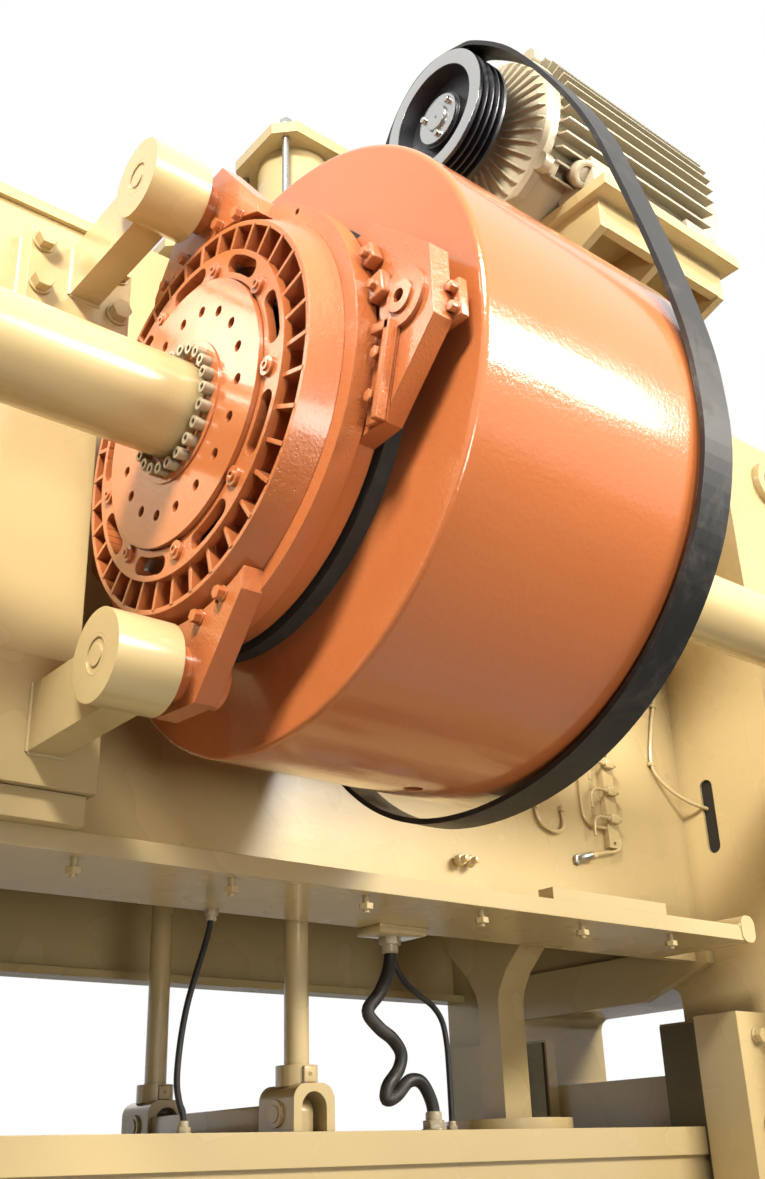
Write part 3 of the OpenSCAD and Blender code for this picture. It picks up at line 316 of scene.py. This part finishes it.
def rubber(name, colour, rough, scale):
    """Black rubber with scuffs and pale dust."""
    material, tree, shader, place = start_material(name, specular=0.4)
    form = use_group(tree, EDGE_DUST_AND_SHADE, {"Place": place, "Edge Width": 0.003})
    scuffs = ramp(tree, noise(tree, place, scale, 5.0, 0.7, 0.6), 0.48, 0.75)
    worn = maths(tree, "MAXIMUM", maths(tree, "MULTIPLY", scuffs, 0.5), form["Edge"])
    tree.links.new(mixed(tree, worn, rgba(colour), rgba((0.085, 0.078, 0.070))),
                   shader.inputs["Base Color"])
    tree.links.new(ramp(tree, scuffs, 0.0, 1.0, rough, rough + 0.25),
                   shader.inputs["Roughness"])
    fine = noise(tree, place, 260.0, 3.0, 0.6)
    bump = add(tree, "ShaderNodeBump", {"Strength": 0.25, "Distance": 0.001, "Height": fine})
    tree.links.new(bump.outputs[0], shader.inputs["Normal"])
    return material


CREAM = (0.58, 0.45, 0.225)
CREAM_DEEP = (0.46, 0.345, 0.16)
ORANGE = (0.54, 0.17, 0.056)
ORANGE_DEEP = (0.44, 0.115, 0.032)

MATERIALS = {
    "cream_enamel": enamel("cream_machine_enamel", CREAM, CREAM_DEEP, (0.34, 0.27, 0.17),
                           0.24, 0.30, 0.30, 0.35),
    "orange_enamel": enamel("orange_drum_enamel", ORANGE, ORANGE_DEEP, (0.30, 0.12, 0.06),
                            0.16, 0.70, 0.45, 0.60),
    "orange_cast": enamel("orange_enamel_on_casting", ORANGE, ORANGE_DEEP, (0.22, 0.09, 0.05),
                          0.22, 0.2, 0.2, 0.50, cast=True),
    "motor_paint": enamel("pale_motor_paint", (0.50, 0.44, 0.31), (0.38, 0.33, 0.22),
                          (0.25, 0.24, 0.22), 0.30, 0.25, 0.1, 0.20, cast=True),
    "painted_fitting": enamel("painted_fitting", (0.44, 0.37, 0.24), (0.30, 0.25, 0.16),
                              (0.42, 0.41, 0.38), 0.28, 0.2, 0.2, 0.30),
    "steel": bare_metal("machined_steel", (0.50, 0.49, 0.47), 0.30, (1.0, 1.0, 6.0)),
    "bright_steel": bare_metal("bright_turned_steel", (0.62, 0.61, 0.59), 0.24, (1.0, 1.0, 1.0),
                               0.25),
    "sheave_iron": bare_metal("dark_sheave_iron", (0.11, 0.11, 0.12), 0.42, (6.0, 1.0, 1.0)),
    "friction_lining": rubber("friction_lining", (0.030, 0.027, 0.024), 0.75, 20.0),
    "bronze": bare_metal("bronze_liner", (0.55, 0.36, 0.15), 0.35, (1.0, 1.0, 8.0)),
    "oiled_liner": bare_metal("oiled_liner", (0.16, 0.13, 0.08), 0.45, (1.0, 1.0, 8.0), 0.6),
    "black_rubber": rubber("black_rubber", (0.014, 0.013, 0.012), 0.42, 6.0),
}

FINISHES = {"clutch_housing": "orange_cast", "brake_ring": "orange_cast",
            "lug_ring": "orange_cast", "locking_screws": "painted_fitting",
            "gib_liners": "oiled_liner"}
for part in frame["record"]["subparts"]:
    slot = part["material_slot"]
    chosen = FINISHES.get(part["node"], slot)
    mesh = NODES[part["node"]].data
    mesh.materials.clear()
    mesh.materials.append(MATERIALS[chosen])


# Modelling helpers
def deselect():
    bpy.ops.object.select_all(action="DESELECT")


def only(obj):
    deselect()
    obj.select_set(True)
    bpy.context.view_layer.objects.active = obj


def settle(obj):
    """Puts the piece's place, turn and size into its mesh."""
    only(obj)
    bpy.ops.object.transform_apply(location=True, rotation=True, scale=True)


def modify(obj, kind, **settings):
    only(obj)
    modifier = obj.modifiers.new("step", kind)
    for key, value in settings.items():
        setattr(modifier, key, value)
    bpy.ops.object.modifier_apply(modifier=modifier.name)


def smooth(obj, degrees=35.0):
    only(obj)
    bpy.ops.object.shade_smooth_by_angle(angle=math.radians(degrees))


def join(pieces):
    deselect()
    for piece in pieces:
        piece.select_set(True)
    bpy.context.view_layer.objects.active = pieces[0]
    bpy.ops.object.join()
    return bpy.context.object


def copy_to(obj, matrix):
    """A copy with its own mesh, moved by the matrix."""
    twin = obj.copy()
    twin.data = obj.data.copy()
    bpy.context.scene.collection.objects.link(twin)
    twin.data.transform(matrix)
    return twin


def remove(obj):
    mesh = obj.data
    bpy.data.objects.remove(obj)
    bpy.data.meshes.remove(mesh)


def hand_over(obj, name, finish, body):
    """Names the piece, gives it its finish and lets it move with its body."""
    obj.name = name
    obj.data.name = name
    obj.data.materials.clear()
    obj.data.materials.append(MATERIALS[finish])
    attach(obj, body)
    return obj


def turned_to(place, direction):
    """Matrix that stands a piece made along +Z on a place, pointing in a direction."""
    turn = Vector(direction).to_track_quat("Z", "Y").to_matrix().to_4x4()
    return Matrix.Translation(Vector(place)) @ turn


def block(low, high, bevel=0.003, segments=2):
    """Box between two corners with rounded edges."""
    middle = [(a + b) / 2 for a, b in zip(low, high)]
    bpy.ops.mesh.primitive_cube_add(size=1.0, location=middle)
    obj = bpy.context.object
    obj.scale = [b - a for a, b in zip(low, high)]
    settle(obj)
    modify(obj, "BEVEL", width=bevel, segments=segments, limit_method="ANGLE")
    return obj


def drum(radius, height, bevel=0.002, sides=40, segments=2):
    """Round piece standing on the origin along +Z with rounded rims."""
    bpy.ops.mesh.primitive_cylinder_add(vertices=sides, radius=radius, depth=height,
                                        location=(0, 0, height / 2))
    obj = bpy.context.object
    settle(obj)
    modify(obj, "BEVEL", width=bevel, segments=segments, limit_method="ANGLE",
           angle_limit=math.radians(50))
    return obj


def ring_plate(outer, inner, thick, bevel, sides=96):
    """Flat ring standing on the origin along +Z with rounded edges."""
    bpy.ops.mesh.primitive_circle_add(vertices=sides, radius=outer, fill_type="NOTHING")
    obj = bpy.context.object
    bpy.ops.object.mode_set(mode="EDIT")
    bpy.ops.mesh.select_all(action="SELECT")
    bpy.ops.mesh.extrude_region_move()
    bpy.ops.transform.resize(value=(inner / outer, inner / outer, 1.0))
    bpy.ops.mesh.select_all(action="SELECT")
    bpy.ops.mesh.extrude_region_move(TRANSFORM_OT_translate={"value": (0, 0, thick)})
    bpy.ops.mesh.select_all(action="SELECT")
    bpy.ops.mesh.normals_make_consistent(inside=False)
    bpy.ops.object.mode_set(mode="OBJECT")
    modify(obj, "BEVEL", width=bevel, segments=2, limit_method="ANGLE",
           angle_limit=math.radians(50))
    return obj


def hex_bolt(across, height, washer=True):
    """Hexagon bolt head on a washer, standing on the origin along +Z."""
    bpy.ops.mesh.primitive_cylinder_add(vertices=6, radius=across / math.sqrt(3),
                                        depth=height, location=(0, 0, height / 2))
    head = bpy.context.object
    settle(head)
    bpy.ops.object.mode_set(mode="EDIT")
    net = bmesh.from_edit_mesh(head.data)
    for face in net.faces:
        face.select = face.normal.z > 0.9
    bmesh.update_edit_mesh(head.data)
    bpy.ops.mesh.inset(thickness=across * 0.06)
    bpy.ops.transform.translate(value=(0, 0, height * 0.08))
    bpy.ops.object.mode_set(mode="OBJECT")
    modify(head, "BEVEL", width=across * 0.03, segments=2, limit_method="ANGLE")
    if not washer:
        return head
    ring = drum(across * 0.64, height * 0.18, bevel=across * 0.03)
    return join([head, ring])


def many(obj, matrices):
    """One piece from copies of a model piece, one at each matrix."""
    twins = [copy_to(obj, matrix) for matrix in matrices]
    remove(obj)
    return join(twins)


def smooth_path(points, steps):
    """Smooth line through the points, as the part's source draws it."""
    line = []
    last = len(points) - 1
    for k in range(last):
        a, b, c, d = (Vector(points[i]) for i in (max(k - 1, 0), k, k + 1, min(k + 2, last)))
        for j in range(steps):
            t = j / steps
            line.append(0.5 * (2 * b + (c - a) * t + (2 * a - 5 * b + 4 * c - d) * t * t
                               + (3 * b - a - 3 * c + d) * t * t * t))
    line.append(Vector(points[last]))
    return line


def tube(line, radius, sides=3, swell=None):
    """Round tube along a line; swell gives each point's share of the radius."""
    curve = bpy.data.curves.new("tube", "CURVE")
    curve.dimensions = "3D"
    curve.bevel_depth = radius
    curve.bevel_resolution = sides
    curve.use_fill_caps = True
    spline = curve.splines.new("POLY")
    spline.points.add(len(line) - 1)
    for k, point in enumerate(line):
        spline.points[k].co = (*point, 1.0)
        spline.points[k].radius = swell(k) if swell else 1.0
    obj = bpy.data.objects.new("tube", curve)
    bpy.context.scene.collection.objects.link(obj)
    only(obj)
    bpy.ops.object.convert(target="MESH")
    smooth(obj, 50.0)
    return obj


# Free cords
CABLE_RADIUS = 0.0085
HOSE_RADIUS = 0.0195
THIN_HOSE_RADIUS = 0.009
CABLE_POINTS = [(-0.343, -0.478, 2.812), (-0.349, -0.478, 2.770), (-0.366, -0.479, 2.710),
                (-0.390, -0.480, 2.640), (-0.414, -0.481, 2.560), (-0.430, -0.481, 2.470),
                (-0.436, -0.480, 2.380), (-0.428, -0.480, 2.330), (-0.414, -0.480, 2.290),
                (-0.413, -0.480, 2.251)]
HOSE_POINTS = [(0.296, -0.478, 2.780), (0.296, -0.478, 2.740), (0.282, -0.479, 2.690),
               (0.248, -0.480, 2.630), (0.200, -0.481, 2.575), (0.240, -0.482, 2.530),
               (0.290, -0.482, 2.500), (0.322, -0.481, 2.460), (0.310, -0.480, 2.415),
               (0.268, -0.480, 2.370), (0.262, -0.480, 2.335), (0.300, -0.480, 2.345),
               (0.350, -0.480, 2.385), (0.400, -0.480, 2.380), (0.437, -0.480, 2.320),
               (0.440, -0.480, 2.251)]
THIN_HOSE_POINTS = [(0.336, -0.444, 2.796), (0.337, -0.444, 2.750), (0.350, -0.444, 2.706),
                    (0.388, -0.444, 2.664), (0.440, -0.445, 2.632), (0.490, -0.445, 2.604),
                    (0.524, -0.445, 2.562), (0.538, -0.445, 2.500), (0.542, -0.445, 2.420),
                    (0.543, -0.445, 2.330), (0.543, -0.445, 2.251)]


def free_cord(name, node, points, radius):
    """A cord from the crown to the slide, drawn as a tube along the points; it stays with the
    frame.
    """
    line = smooth_path(points, 6)
    piece = tube(line, radius, sides=4)
    hand_over(piece, name, "black_rubber", "frame")
    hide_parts(node)
    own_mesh(piece)
    return piece


free_cord("control_cable_run", "control_cable", CABLE_POINTS, CABLE_RADIUS)
free_cord("air_hose_run", "air_hose", HOSE_POINTS, HOSE_RADIUS)
free_cord("thin_hose_run", "air_hose", THIN_HOSE_POINTS, THIN_HOSE_RADIUS)


# Cord fittings
def cord_gland(name, place, direction, across, body):
    """Hexagon gland with a rounded nose round a cord; it stands on a face."""
    nut = hex_bolt(across, across * 0.45, washer=True)
    nose = drum(across * 0.42, across * 0.9, bevel=across * 0.12, sides=32, segments=4)
    piece = join([nut, nose])
    piece.data.transform(turned_to(place, direction))
    smooth(piece)
    return hand_over(piece, name, "painted_fitting", body)


DOWN = (0, 0, -1)
UP = (0, 0, 1)
BACK = (0, -1, 0)
LEFT = (-1, 0, 0)

cord_gland("cable_gland", (-0.343, -0.478, DECK_UNDERSIDE), DOWN, 0.034, "frame")
cord_gland("cable_foot_gland", (-0.413, -0.480, SLIDE_TOP), UP, 0.034, "slide")
cord_gland("hose_gland", (0.296, -0.478, 2.800), DOWN, 0.060, "frame")
cord_gland("hose_foot_gland", (0.440, -0.480, SLIDE_TOP), UP, 0.058, "slide")
cord_gland("thin_hose_gland", (0.336, -0.444, 2.800), DOWN, 0.026, "frame")
cord_gland("thin_hose_foot", (0.543, -0.445, SLIDE_TOP), UP, 0.030, "slide")


def hose_box():
    """Small junction box under the deck that the air hose leaves."""
    box = block((0.205, -0.545, 2.796), (0.390, -0.430, DECK_UNDERSIDE), bevel=0.003)
    lid = block((0.200, -0.550, 2.812), (0.395, -0.545, DECK_UNDERSIDE), bevel=0.001)
    piece = join([box, lid])
    smooth(piece)
    hand_over(piece, "hose_junction_box", "cream_enamel", "frame")


hose_box()


# Weld seams
def weld(line, size, seed):
    """Rippled fillet weld along a line."""
    chance = random.Random(seed)
    dense = []
    for a, b in zip(line, line[1:]):
        a, b = Vector(a), Vector(b)
        steps = max(2, int((b - a).length / (size * 0.55)))
        dense += [a.lerp(b, k / steps) for k in range(steps)]
    dense.append(Vector(line[-1]))
    return tube(dense, size, sides=2,
                swell=lambda k: (1.0 if k % 2 else 0.86) + chance.uniform(-0.06, 0.06))


def weld_set(name, lines, size, body, finish="cream_enamel"):
    piece = join([weld(line, size, k + 1) for k, line in enumerate(lines)])
    hand_over(piece, name, finish, body)


def box_loop(low, high, axis):
    """Closed line round the edges of a face at right angles to an axis, at its low end."""
    (x0, y0, z0), (x1, y1, z1) = low, high
    if axis == "y":
        return [(x0, y0, z0), (x1, y0, z0), (x1, y0, z1), (x0, y0, z1), (x0, y0, z0)]
    if axis == "x":
        return [(x0, y0, z0), (x0, y1, z0), (x0, y1, z1), (x0, y0, z1), (x0, y0, z0)]
    return [(x0, y0, z0), (x1, y0, z0), (x1, y1, z0), (x0, y1, z0), (x0, y0, z0)]


ARM_LEFT = DRUM_X - 0.352
ARM_RIGHT = DRUM_X - 0.269
ARM_BASE = -0.962
weld_set("torque_arm_welds", [
    box_loop((ARM_LEFT, ARM_BASE, 4.259), (ARM_RIGHT, ARM_BASE, 4.416), "y"),
    box_loop((ARM_LEFT, ARM_BASE, 3.010), (ARM_RIGHT, ARM_BASE, 3.168), "y"),
    box_loop((-1.245, CASE_BACK, 4.060), (-0.987, CASE_BACK, 4.440), "y"),
], 0.007, "frame")
weld_set("deck_welds", [
    [(-0.985, CASE_BACK + 0.002, DECK_TOP), (-0.985, CROWN_BACK, DECK_TOP)],
    [(-0.985, CROWN_BACK, DECK_TOP), (1.57, CROWN_BACK, DECK_TOP)],
    [(1.512, CASE_BACK - 0.002, DECK_TOP), (1.512, -0.702, DECK_TOP),
     (1.575, -0.700, DECK_TOP)],
    [(-0.985, CROWN_BACK, DECK_TOP), (-0.985, CROWN_BACK, 4.530)],
], 0.008, "frame")


# Lubrication lines
TUBE_RADIUS = 0.0055


def pipe_nut(place, direction, across=0.017, height=0.014):
    nut = hex_bolt(across, height, washer=False)
    nut.data.transform(turned_to(place, direction))
    return nut


def lube_lines():
    """Painted tubes, nuts and injector blocks on the crown's back."""
    low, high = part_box("lube_manifold")
    face = low.y
    pieces = []
    for k in range(3):
        z = high.z - 0.055 - k * 0.105
        pieces.append(block((low.x + 0.004, face - 0.022, z - 0.016),
                            (high.x - 0.012, face, z + 0.016), bevel=0.003))
        pieces.append(pipe_nut((low.x + 0.004, face - 0.011, z), LEFT))
        turn = [(low.x, face - 0.011, z), (low.x - 0.050, face - 0.011, z),
                (low.x - 0.078, face - 0.011, z - 0.014),
                (low.x - 0.086, face - 0.011, z - 0.045),
                (low.x - 0.086, face - 0.011, z - 0.075)]
        pieces.append(tube(smooth_path(turn, 6), TUBE_RADIUS))
        pieces.append(pipe_nut((high.x - 0.012, face - 0.011, z), (1, 0, 0)))
    feed = [(1.203, -0.512, 4.300), (1.203, -0.512, 3.900), (1.203, -0.512, 3.480),
            (1.202, -0.512, 3.330), (1.212, -0.513, 3.285), (1.250, -0.514, 3.264),
            (1.310, -0.515, 3.262), (1.360, -0.516, 3.258), (1.384, -0.518, 3.232),
            (1.378, -0.522, 3.196), (1.340, -0.526, 3.176), (1.280, -0.528, 3.165),
            (1.215, -0.528, 3.148)]
    pieces.append(tube(smooth_path(feed, 6), TUBE_RADIUS * 1.2))
    pieces.append(pipe_nut((1.232, -0.528, 3.152), (-0.95, 0, -0.25), 0.026, 0.022))
    return pieces


def elbow_fitting():
    """Hose elbow with its nut under the lubrication feed."""
    bend = [(1.215, -0.528, 3.148), (1.190, -0.528, 3.141), (1.168, -0.522, 3.134),
            (1.158, -0.506, 3.130)]
    pieces = [tube(smooth_path(bend, 6), 0.013)]
    pieces.append(pipe_nut((1.157, -0.500, 3.130), BACK, 0.036, 0.014))
    piece = join(pieces)
    smooth(piece)
    hand_over(piece, "feed_elbow", "steel", "frame")


def wall_tubes():
    """Single tubes that cross the crown's back, their clips, and a plugged stud."""
    drop = [(1.745, -0.508, 4.050), (1.715, -0.508, 3.870), (1.680, -0.508, 3.757),
            (1.650, -0.508, 3.640), (1.640, -0.510, 3.561), (1.655, -0.520, 3.510),
            (1.700, -0.545, 3.455), (1.760, -0.580, 3.410), (1.830, -0.612, 3.385),
            (1.880, -0.625, 3.375)]
    short = [(0.960, -0.506, 3.300), (0.962, -0.512, 3.262), (0.985, -0.514, 3.232),
             (1.033, -0.514, 3.216), (1.075, -0.514, 3.222), (1.093, -0.514, 3.250),
             (1.094, -0.508, 3.292)]
    pieces = [tube(smooth_path(drop, 6), 0.0075), tube(smooth_path(short, 6), 0.0075)]
    for place in ((1.640, -0.500, 3.561), (1.700, -0.500, 3.815)):
        pieces.append(block((place[0] - 0.018, -0.517, place[2] - 0.007),
                            (place[0] + 0.018, CROWN_BACK, place[2] + 0.007), bevel=0.003))
    pieces.append(pipe_nut((1.094, CROWN_BACK, 3.305), BACK, 0.024, 0.020))
    pieces.append(pipe_nut((0.960, CROWN_BACK, 3.300), BACK, 0.024, 0.020))
    for x in (0.566, 0.612):
        stud = drum(0.011, 0.062, bevel=0.002, sides=20)
        stud.data.transform(turned_to((x, CROWN_BACK, 3.056), BACK))
        pieces.append(stud)
        pieces.append(pipe_nut((x, CROWN_BACK - 0.018, 3.056), BACK, 0.036, 0.020))
    return pieces


elbow_fitting()
tubing = join(lube_lines() + wall_tubes())
smooth(tubing)
hand_over(tubing, "lubrication_tubes", "cream_enamel", "frame")


# Clamps beside the side lug
def on_ring(degrees):
    """Matrix that turns a piece made at the back of the shaft to its angle."""
    return (Matrix.Translation((DRUM_X, SHAFT_Y, SHAFT_Z))
            @ Matrix.Rotation(math.radians(-degrees), 4, "X"))


def ring_bolt(across, height, place):
    bolt = hex_bolt(across, height)
    bolt.data.transform(turned_to(place, LEFT))
    return bolt


def lug_clamps():
    """Channel clamp with two bolts, two ears above it and a small bracket behind the lug."""
    clamp = [block((-0.106, -0.600, -0.105), (-0.094, -0.541, 0.105), bevel=0.003),
             block((-0.126, -0.600, -0.105), (-0.096, -0.582, 0.105), bevel=0.003),
             block((-0.126, -0.598, 0.083), (-0.096, -0.541, 0.105), bevel=0.003),
             ring_bolt(0.026, 0.018, (-0.106, -0.561, 0.042)),
             ring_bolt(0.026, 0.018, (-0.106, -0.561, -0.050))]
    ears = [block((-0.124, -0.578, -0.024), (-0.094, -0.541, 0.024), bevel=0.006, segments=3),
            ring_bolt(0.020, 0.012, (-0.124, -0.560, 0.0))]
    low_ear = [block((-0.124, -0.588, -0.030), (-0.094, -0.541, 0.030), bevel=0.006, segments=3),
               ring_bolt(0.020, 0.012, (-0.124, -0.563, 0.0))]
    bracket = [block((-0.045, -0.725, -0.080), (-0.022, -0.640, 0.010), bevel=0.004),
               ring_bolt(0.022, 0.016, (-0.045, -0.711, -0.012)),
               ring_bolt(0.022, 0.016, (-0.045, -0.711, -0.060))]
    pieces = []
    for degrees, group in ((-15.0, clamp), (15.5, ears), (5.5, low_ear), (0.0, bracket)):
        for piece in group:
            piece.data.transform(on_ring(degrees))
        pieces += group
    piece = join(pieces)
    smooth(piece)
    hand_over(piece, "lug_clamps", "orange_cast", "frame")


lug_clamps()


# Painted shadow in the slots of the end boxes
def painted_slot_shadows():
    """Painted shadow: a dark sheet set back inside the oblong slot of each end box, standing in
    for the shade of the hollow behind it.
    """
    half = 0.0285
    straight = 0.1155
    for side, x in (("left", -1.826), ("right", 1.822)):
        mesh = bmesh.new()
        ring = []
        for k in range(40):
            angle = 2 * math.pi * (k + 0.5) / 40
            rise = straight if math.sin(angle) > 0 else -straight
            ring.append(mesh.verts.new((0, SLOT_Y + half * math.cos(angle),
                                        SLOT_MIDDLE + rise + half * math.sin(angle))))
        face = mesh.faces.new(ring)
        grown = bmesh.ops.extrude_face_region(mesh, geom=[face])
        for vert in grown["geom"]:
            if isinstance(vert, bmesh.types.BMVert):
                vert.co.x += 0.004
        bmesh.ops.recalc_face_normals(mesh, faces=mesh.faces)
        data = bpy.data.meshes.new("slot_shadow_sheet")
        mesh.to_mesh(data)
        mesh.free()
        shadow_sheet = bpy.data.objects.new("slot_shadow_sheet", data)
        bpy.context.scene.collection.objects.link(shadow_sheet)
        shadow_sheet.data.transform(Matrix.Translation((x, 0, 0)))
        # The black rubber finish here is painted shadow, not a real liner.
        hand_over(shadow_sheet, "slot_shadow_sheet_" + side, "black_rubber", "frame")


painted_slot_shadows()


# Counterbalance feet
def foot_fittings():
    """Beam that ties the two feet together, and a flat with a set screw on each collar."""
    pieces = [block((-0.060, -0.314, SLIDE_TOP), (0.030, 0.314, SLIDE_TOP + 0.076), bevel=0.006)]
    for y in (-0.400, 0.400):
        pieces.append(block((-0.021, y - 0.067, SLIDE_TOP + 0.128),
                            (0.021, y - 0.050, SLIDE_TOP + 0.172), bevel=0.004, segments=3))
        screw = ring_plate(0.0055, 0.0028, 0.002, 0.0005, sides=24)
        screw.data.transform(turned_to((0.0, y - 0.067, SLIDE_TOP + 0.152), BACK))
        pieces.append(screw)
    piece = join(pieces)
    smooth(piece)
    hand_over(piece, "foot_fittings", "cream_enamel", "slide")


foot_fittings()


# Motor details
SHEAVE_FACE = DRUM_X + 0.640
MOTOR_FLANGE = DRUM_X + 0.905


def sheave_details():
    """Bright turned face ring, taper bushing with its screws, and the shaft's end."""
    face = ring_plate(0.2215, 0.173, 0.003, 0.0008)
    face.data.transform(turned_to((SHEAVE_FACE, MOTOR_Y, MOTOR_Z), LEFT))
    smooth(face)
    hand_over(face, "sheave_face_ring", "bright_steel", "motor_rotor")

    collar = ring_plate(0.086, 0.0425, 0.012, 0.002, sides=64)
    collar.data.transform(turned_to((SHEAVE_FACE + 0.030, MOTOR_Y, MOTOR_Z), LEFT))
    smooth(collar)
    hand_over(collar, "taper_bushing", "bright_steel", "motor_rotor")
    spots = []
    for k in range(3):
        angle = math.radians(30 + 120 * k)
        spots.append(Vector((SHEAVE_FACE + 0.018, MOTOR_Y + 0.065 * math.cos(angle),
                             MOTOR_Z + 0.065 * math.sin(angle))))
    bolts = many(hex_bolt(0.020, 0.013), [turned_to(spot, LEFT) for spot in spots])
    smooth(bolts)
    hand_over(bolts, "bushing_screws", "bright_steel", "motor_rotor")
    centre = ring_plate(0.041, 0.006, 0.002, 0.0006, sides=48)
    centre.data.transform(turned_to((DRUM_X + 0.652, MOTOR_Y, MOTOR_Z), LEFT))
    smooth(centre)
    hand_over(centre, "motor_shaft_end", "bright_steel", "motor_rotor")


def motor_ears():
    """Bolted ears where the end shield meets the frame, and a conduit hub."""
    pieces = []
    for degrees in (45, 135, 225, 315):
        angle = math.radians(degrees)
        out = Vector((0, math.cos(angle), math.sin(angle)))
        ear = block((-0.026, -0.024, -0.020), (0.026, 0.024, 0.030), bevel=0.008, segments=3)
        place = Vector((MOTOR_FLANGE + 0.010, MOTOR_Y, MOTOR_Z)) + out * 0.300
        ear.data.transform(turned_to(place, out))
        pieces.append(ear)
        bolt = hex_bolt(0.024, 0.016)
        bolt.data.transform(turned_to(place + Vector((-0.026, 0, 0)) + out * 0.008, LEFT))
        pieces.append(bolt)
    hub = ring_plate(0.044, 0.024, 0.052, 0.005, sides=40)
    side = turned_to((MOTOR_FLANGE + 0.120, MOTOR_Y - 0.240, MOTOR_Z - 0.205),
                     (-0.10, -0.76, -0.65))
    hub.data.transform(side)
    pieces.append(hub)
    plug = drum(0.025, 0.046, bevel=0.006, sides=32, segments=3)
    plug.data.transform(side)
    pieces.append(plug)
    piece = join(pieces)
    smooth(piece)
    hand_over(piece, "motor_ears", "motor_paint", "frame")


sheave_details()
motor_ears()


# Room and light
def set_room():
    bpy.ops.mesh.primitive_plane_add(size=60.0, location=(0, 0, 0))
    floor = bpy.context.object
    floor.name = "pale_floor"
    material, tree, shader, place = start_material("pale_floor")
    tone = ramp(tree, noise(tree, place, 2.0, 4.0), 0.3, 0.7)
    tree.links.new(mixed(tree, tone, rgba((0.50, 0.49, 0.47)), rgba((0.54, 0.53, 0.51))),
                   shader.inputs["Base Color"])
    shader.inputs["Roughness"].default_value = 0.7
    floor.data.materials.append(material)

    world = bpy.data.worlds.new("studio")
    bpy.context.scene.world = world
    world.use_nodes = True
    tree = world.node_tree
    tree.nodes.clear()
    path = add(tree, "ShaderNodeLightPath")
    seen = maths(tree, "MAXIMUM", path.outputs["Is Camera Ray"],
                 path.outputs["Is Transmission Ray"])
    seen = maths(tree, "MAXIMUM", seen, path.outputs["Is Glossy Ray"])
    shown = add(tree, "ShaderNodeBackground", {"Color": (1, 1, 1, 1), "Strength": 1.0})
    room = add(tree, "ShaderNodeBackground", {"Color": (1.0, 0.98, 0.94, 1),
                                              "Strength": 0.10})
    both = add(tree, "ShaderNodeMixShader", {0: seen, 1: room.outputs[0], 2: shown.outputs[0]})
    end = add(tree, "ShaderNodeOutputWorld")
    tree.links.new(both.outputs[0], end.inputs[0])


WARM_LIGHT = (1.0, 0.95, 0.86)


def add_lamp(name, place, target, size, power, spread):
    """Soft rectangular lamp aimed at a target; its spread is in degrees."""
    data = bpy.data.lights.new(name, "AREA")
    data.spread = math.radians(spread)
    data.shape = "RECTANGLE"
    data.size, data.size_y = size
    data.energy = power
    data.color = WARM_LIGHT
    lamp = bpy.data.objects.new(name, data)
    bpy.context.scene.collection.objects.link(lamp)
    lamp.location = place
    ahead = Vector(target) - Vector(place)
    lamp.rotation_euler = ahead.to_track_quat("-Z", "Y").to_euler()


set_room()
add_lamp("key_lamp", (-6.2, -6.2, 9.6), (-0.5, -1.0, 4.1), (3.5, 1.2), 255, 60.0)
add_lamp("side_lamp", (4.0, -9.0, 7.2), (0.5, -1.2, 4.0), (5.0, 2.0), 190, 58.0)
add_lamp("front_lamp", (1.5, 8.5, 6.5), (0.0, 0.5, 3.0), (6.0, 3.0), 18, 80.0)
add_lamp("low_lamp", (-2.0, -9.0, 1.5), (0.1, -1.6, 3.9), (3.0, 2.0), 20, 40.0)

bpy.context.scene.view_settings.view_transform = "Standard"
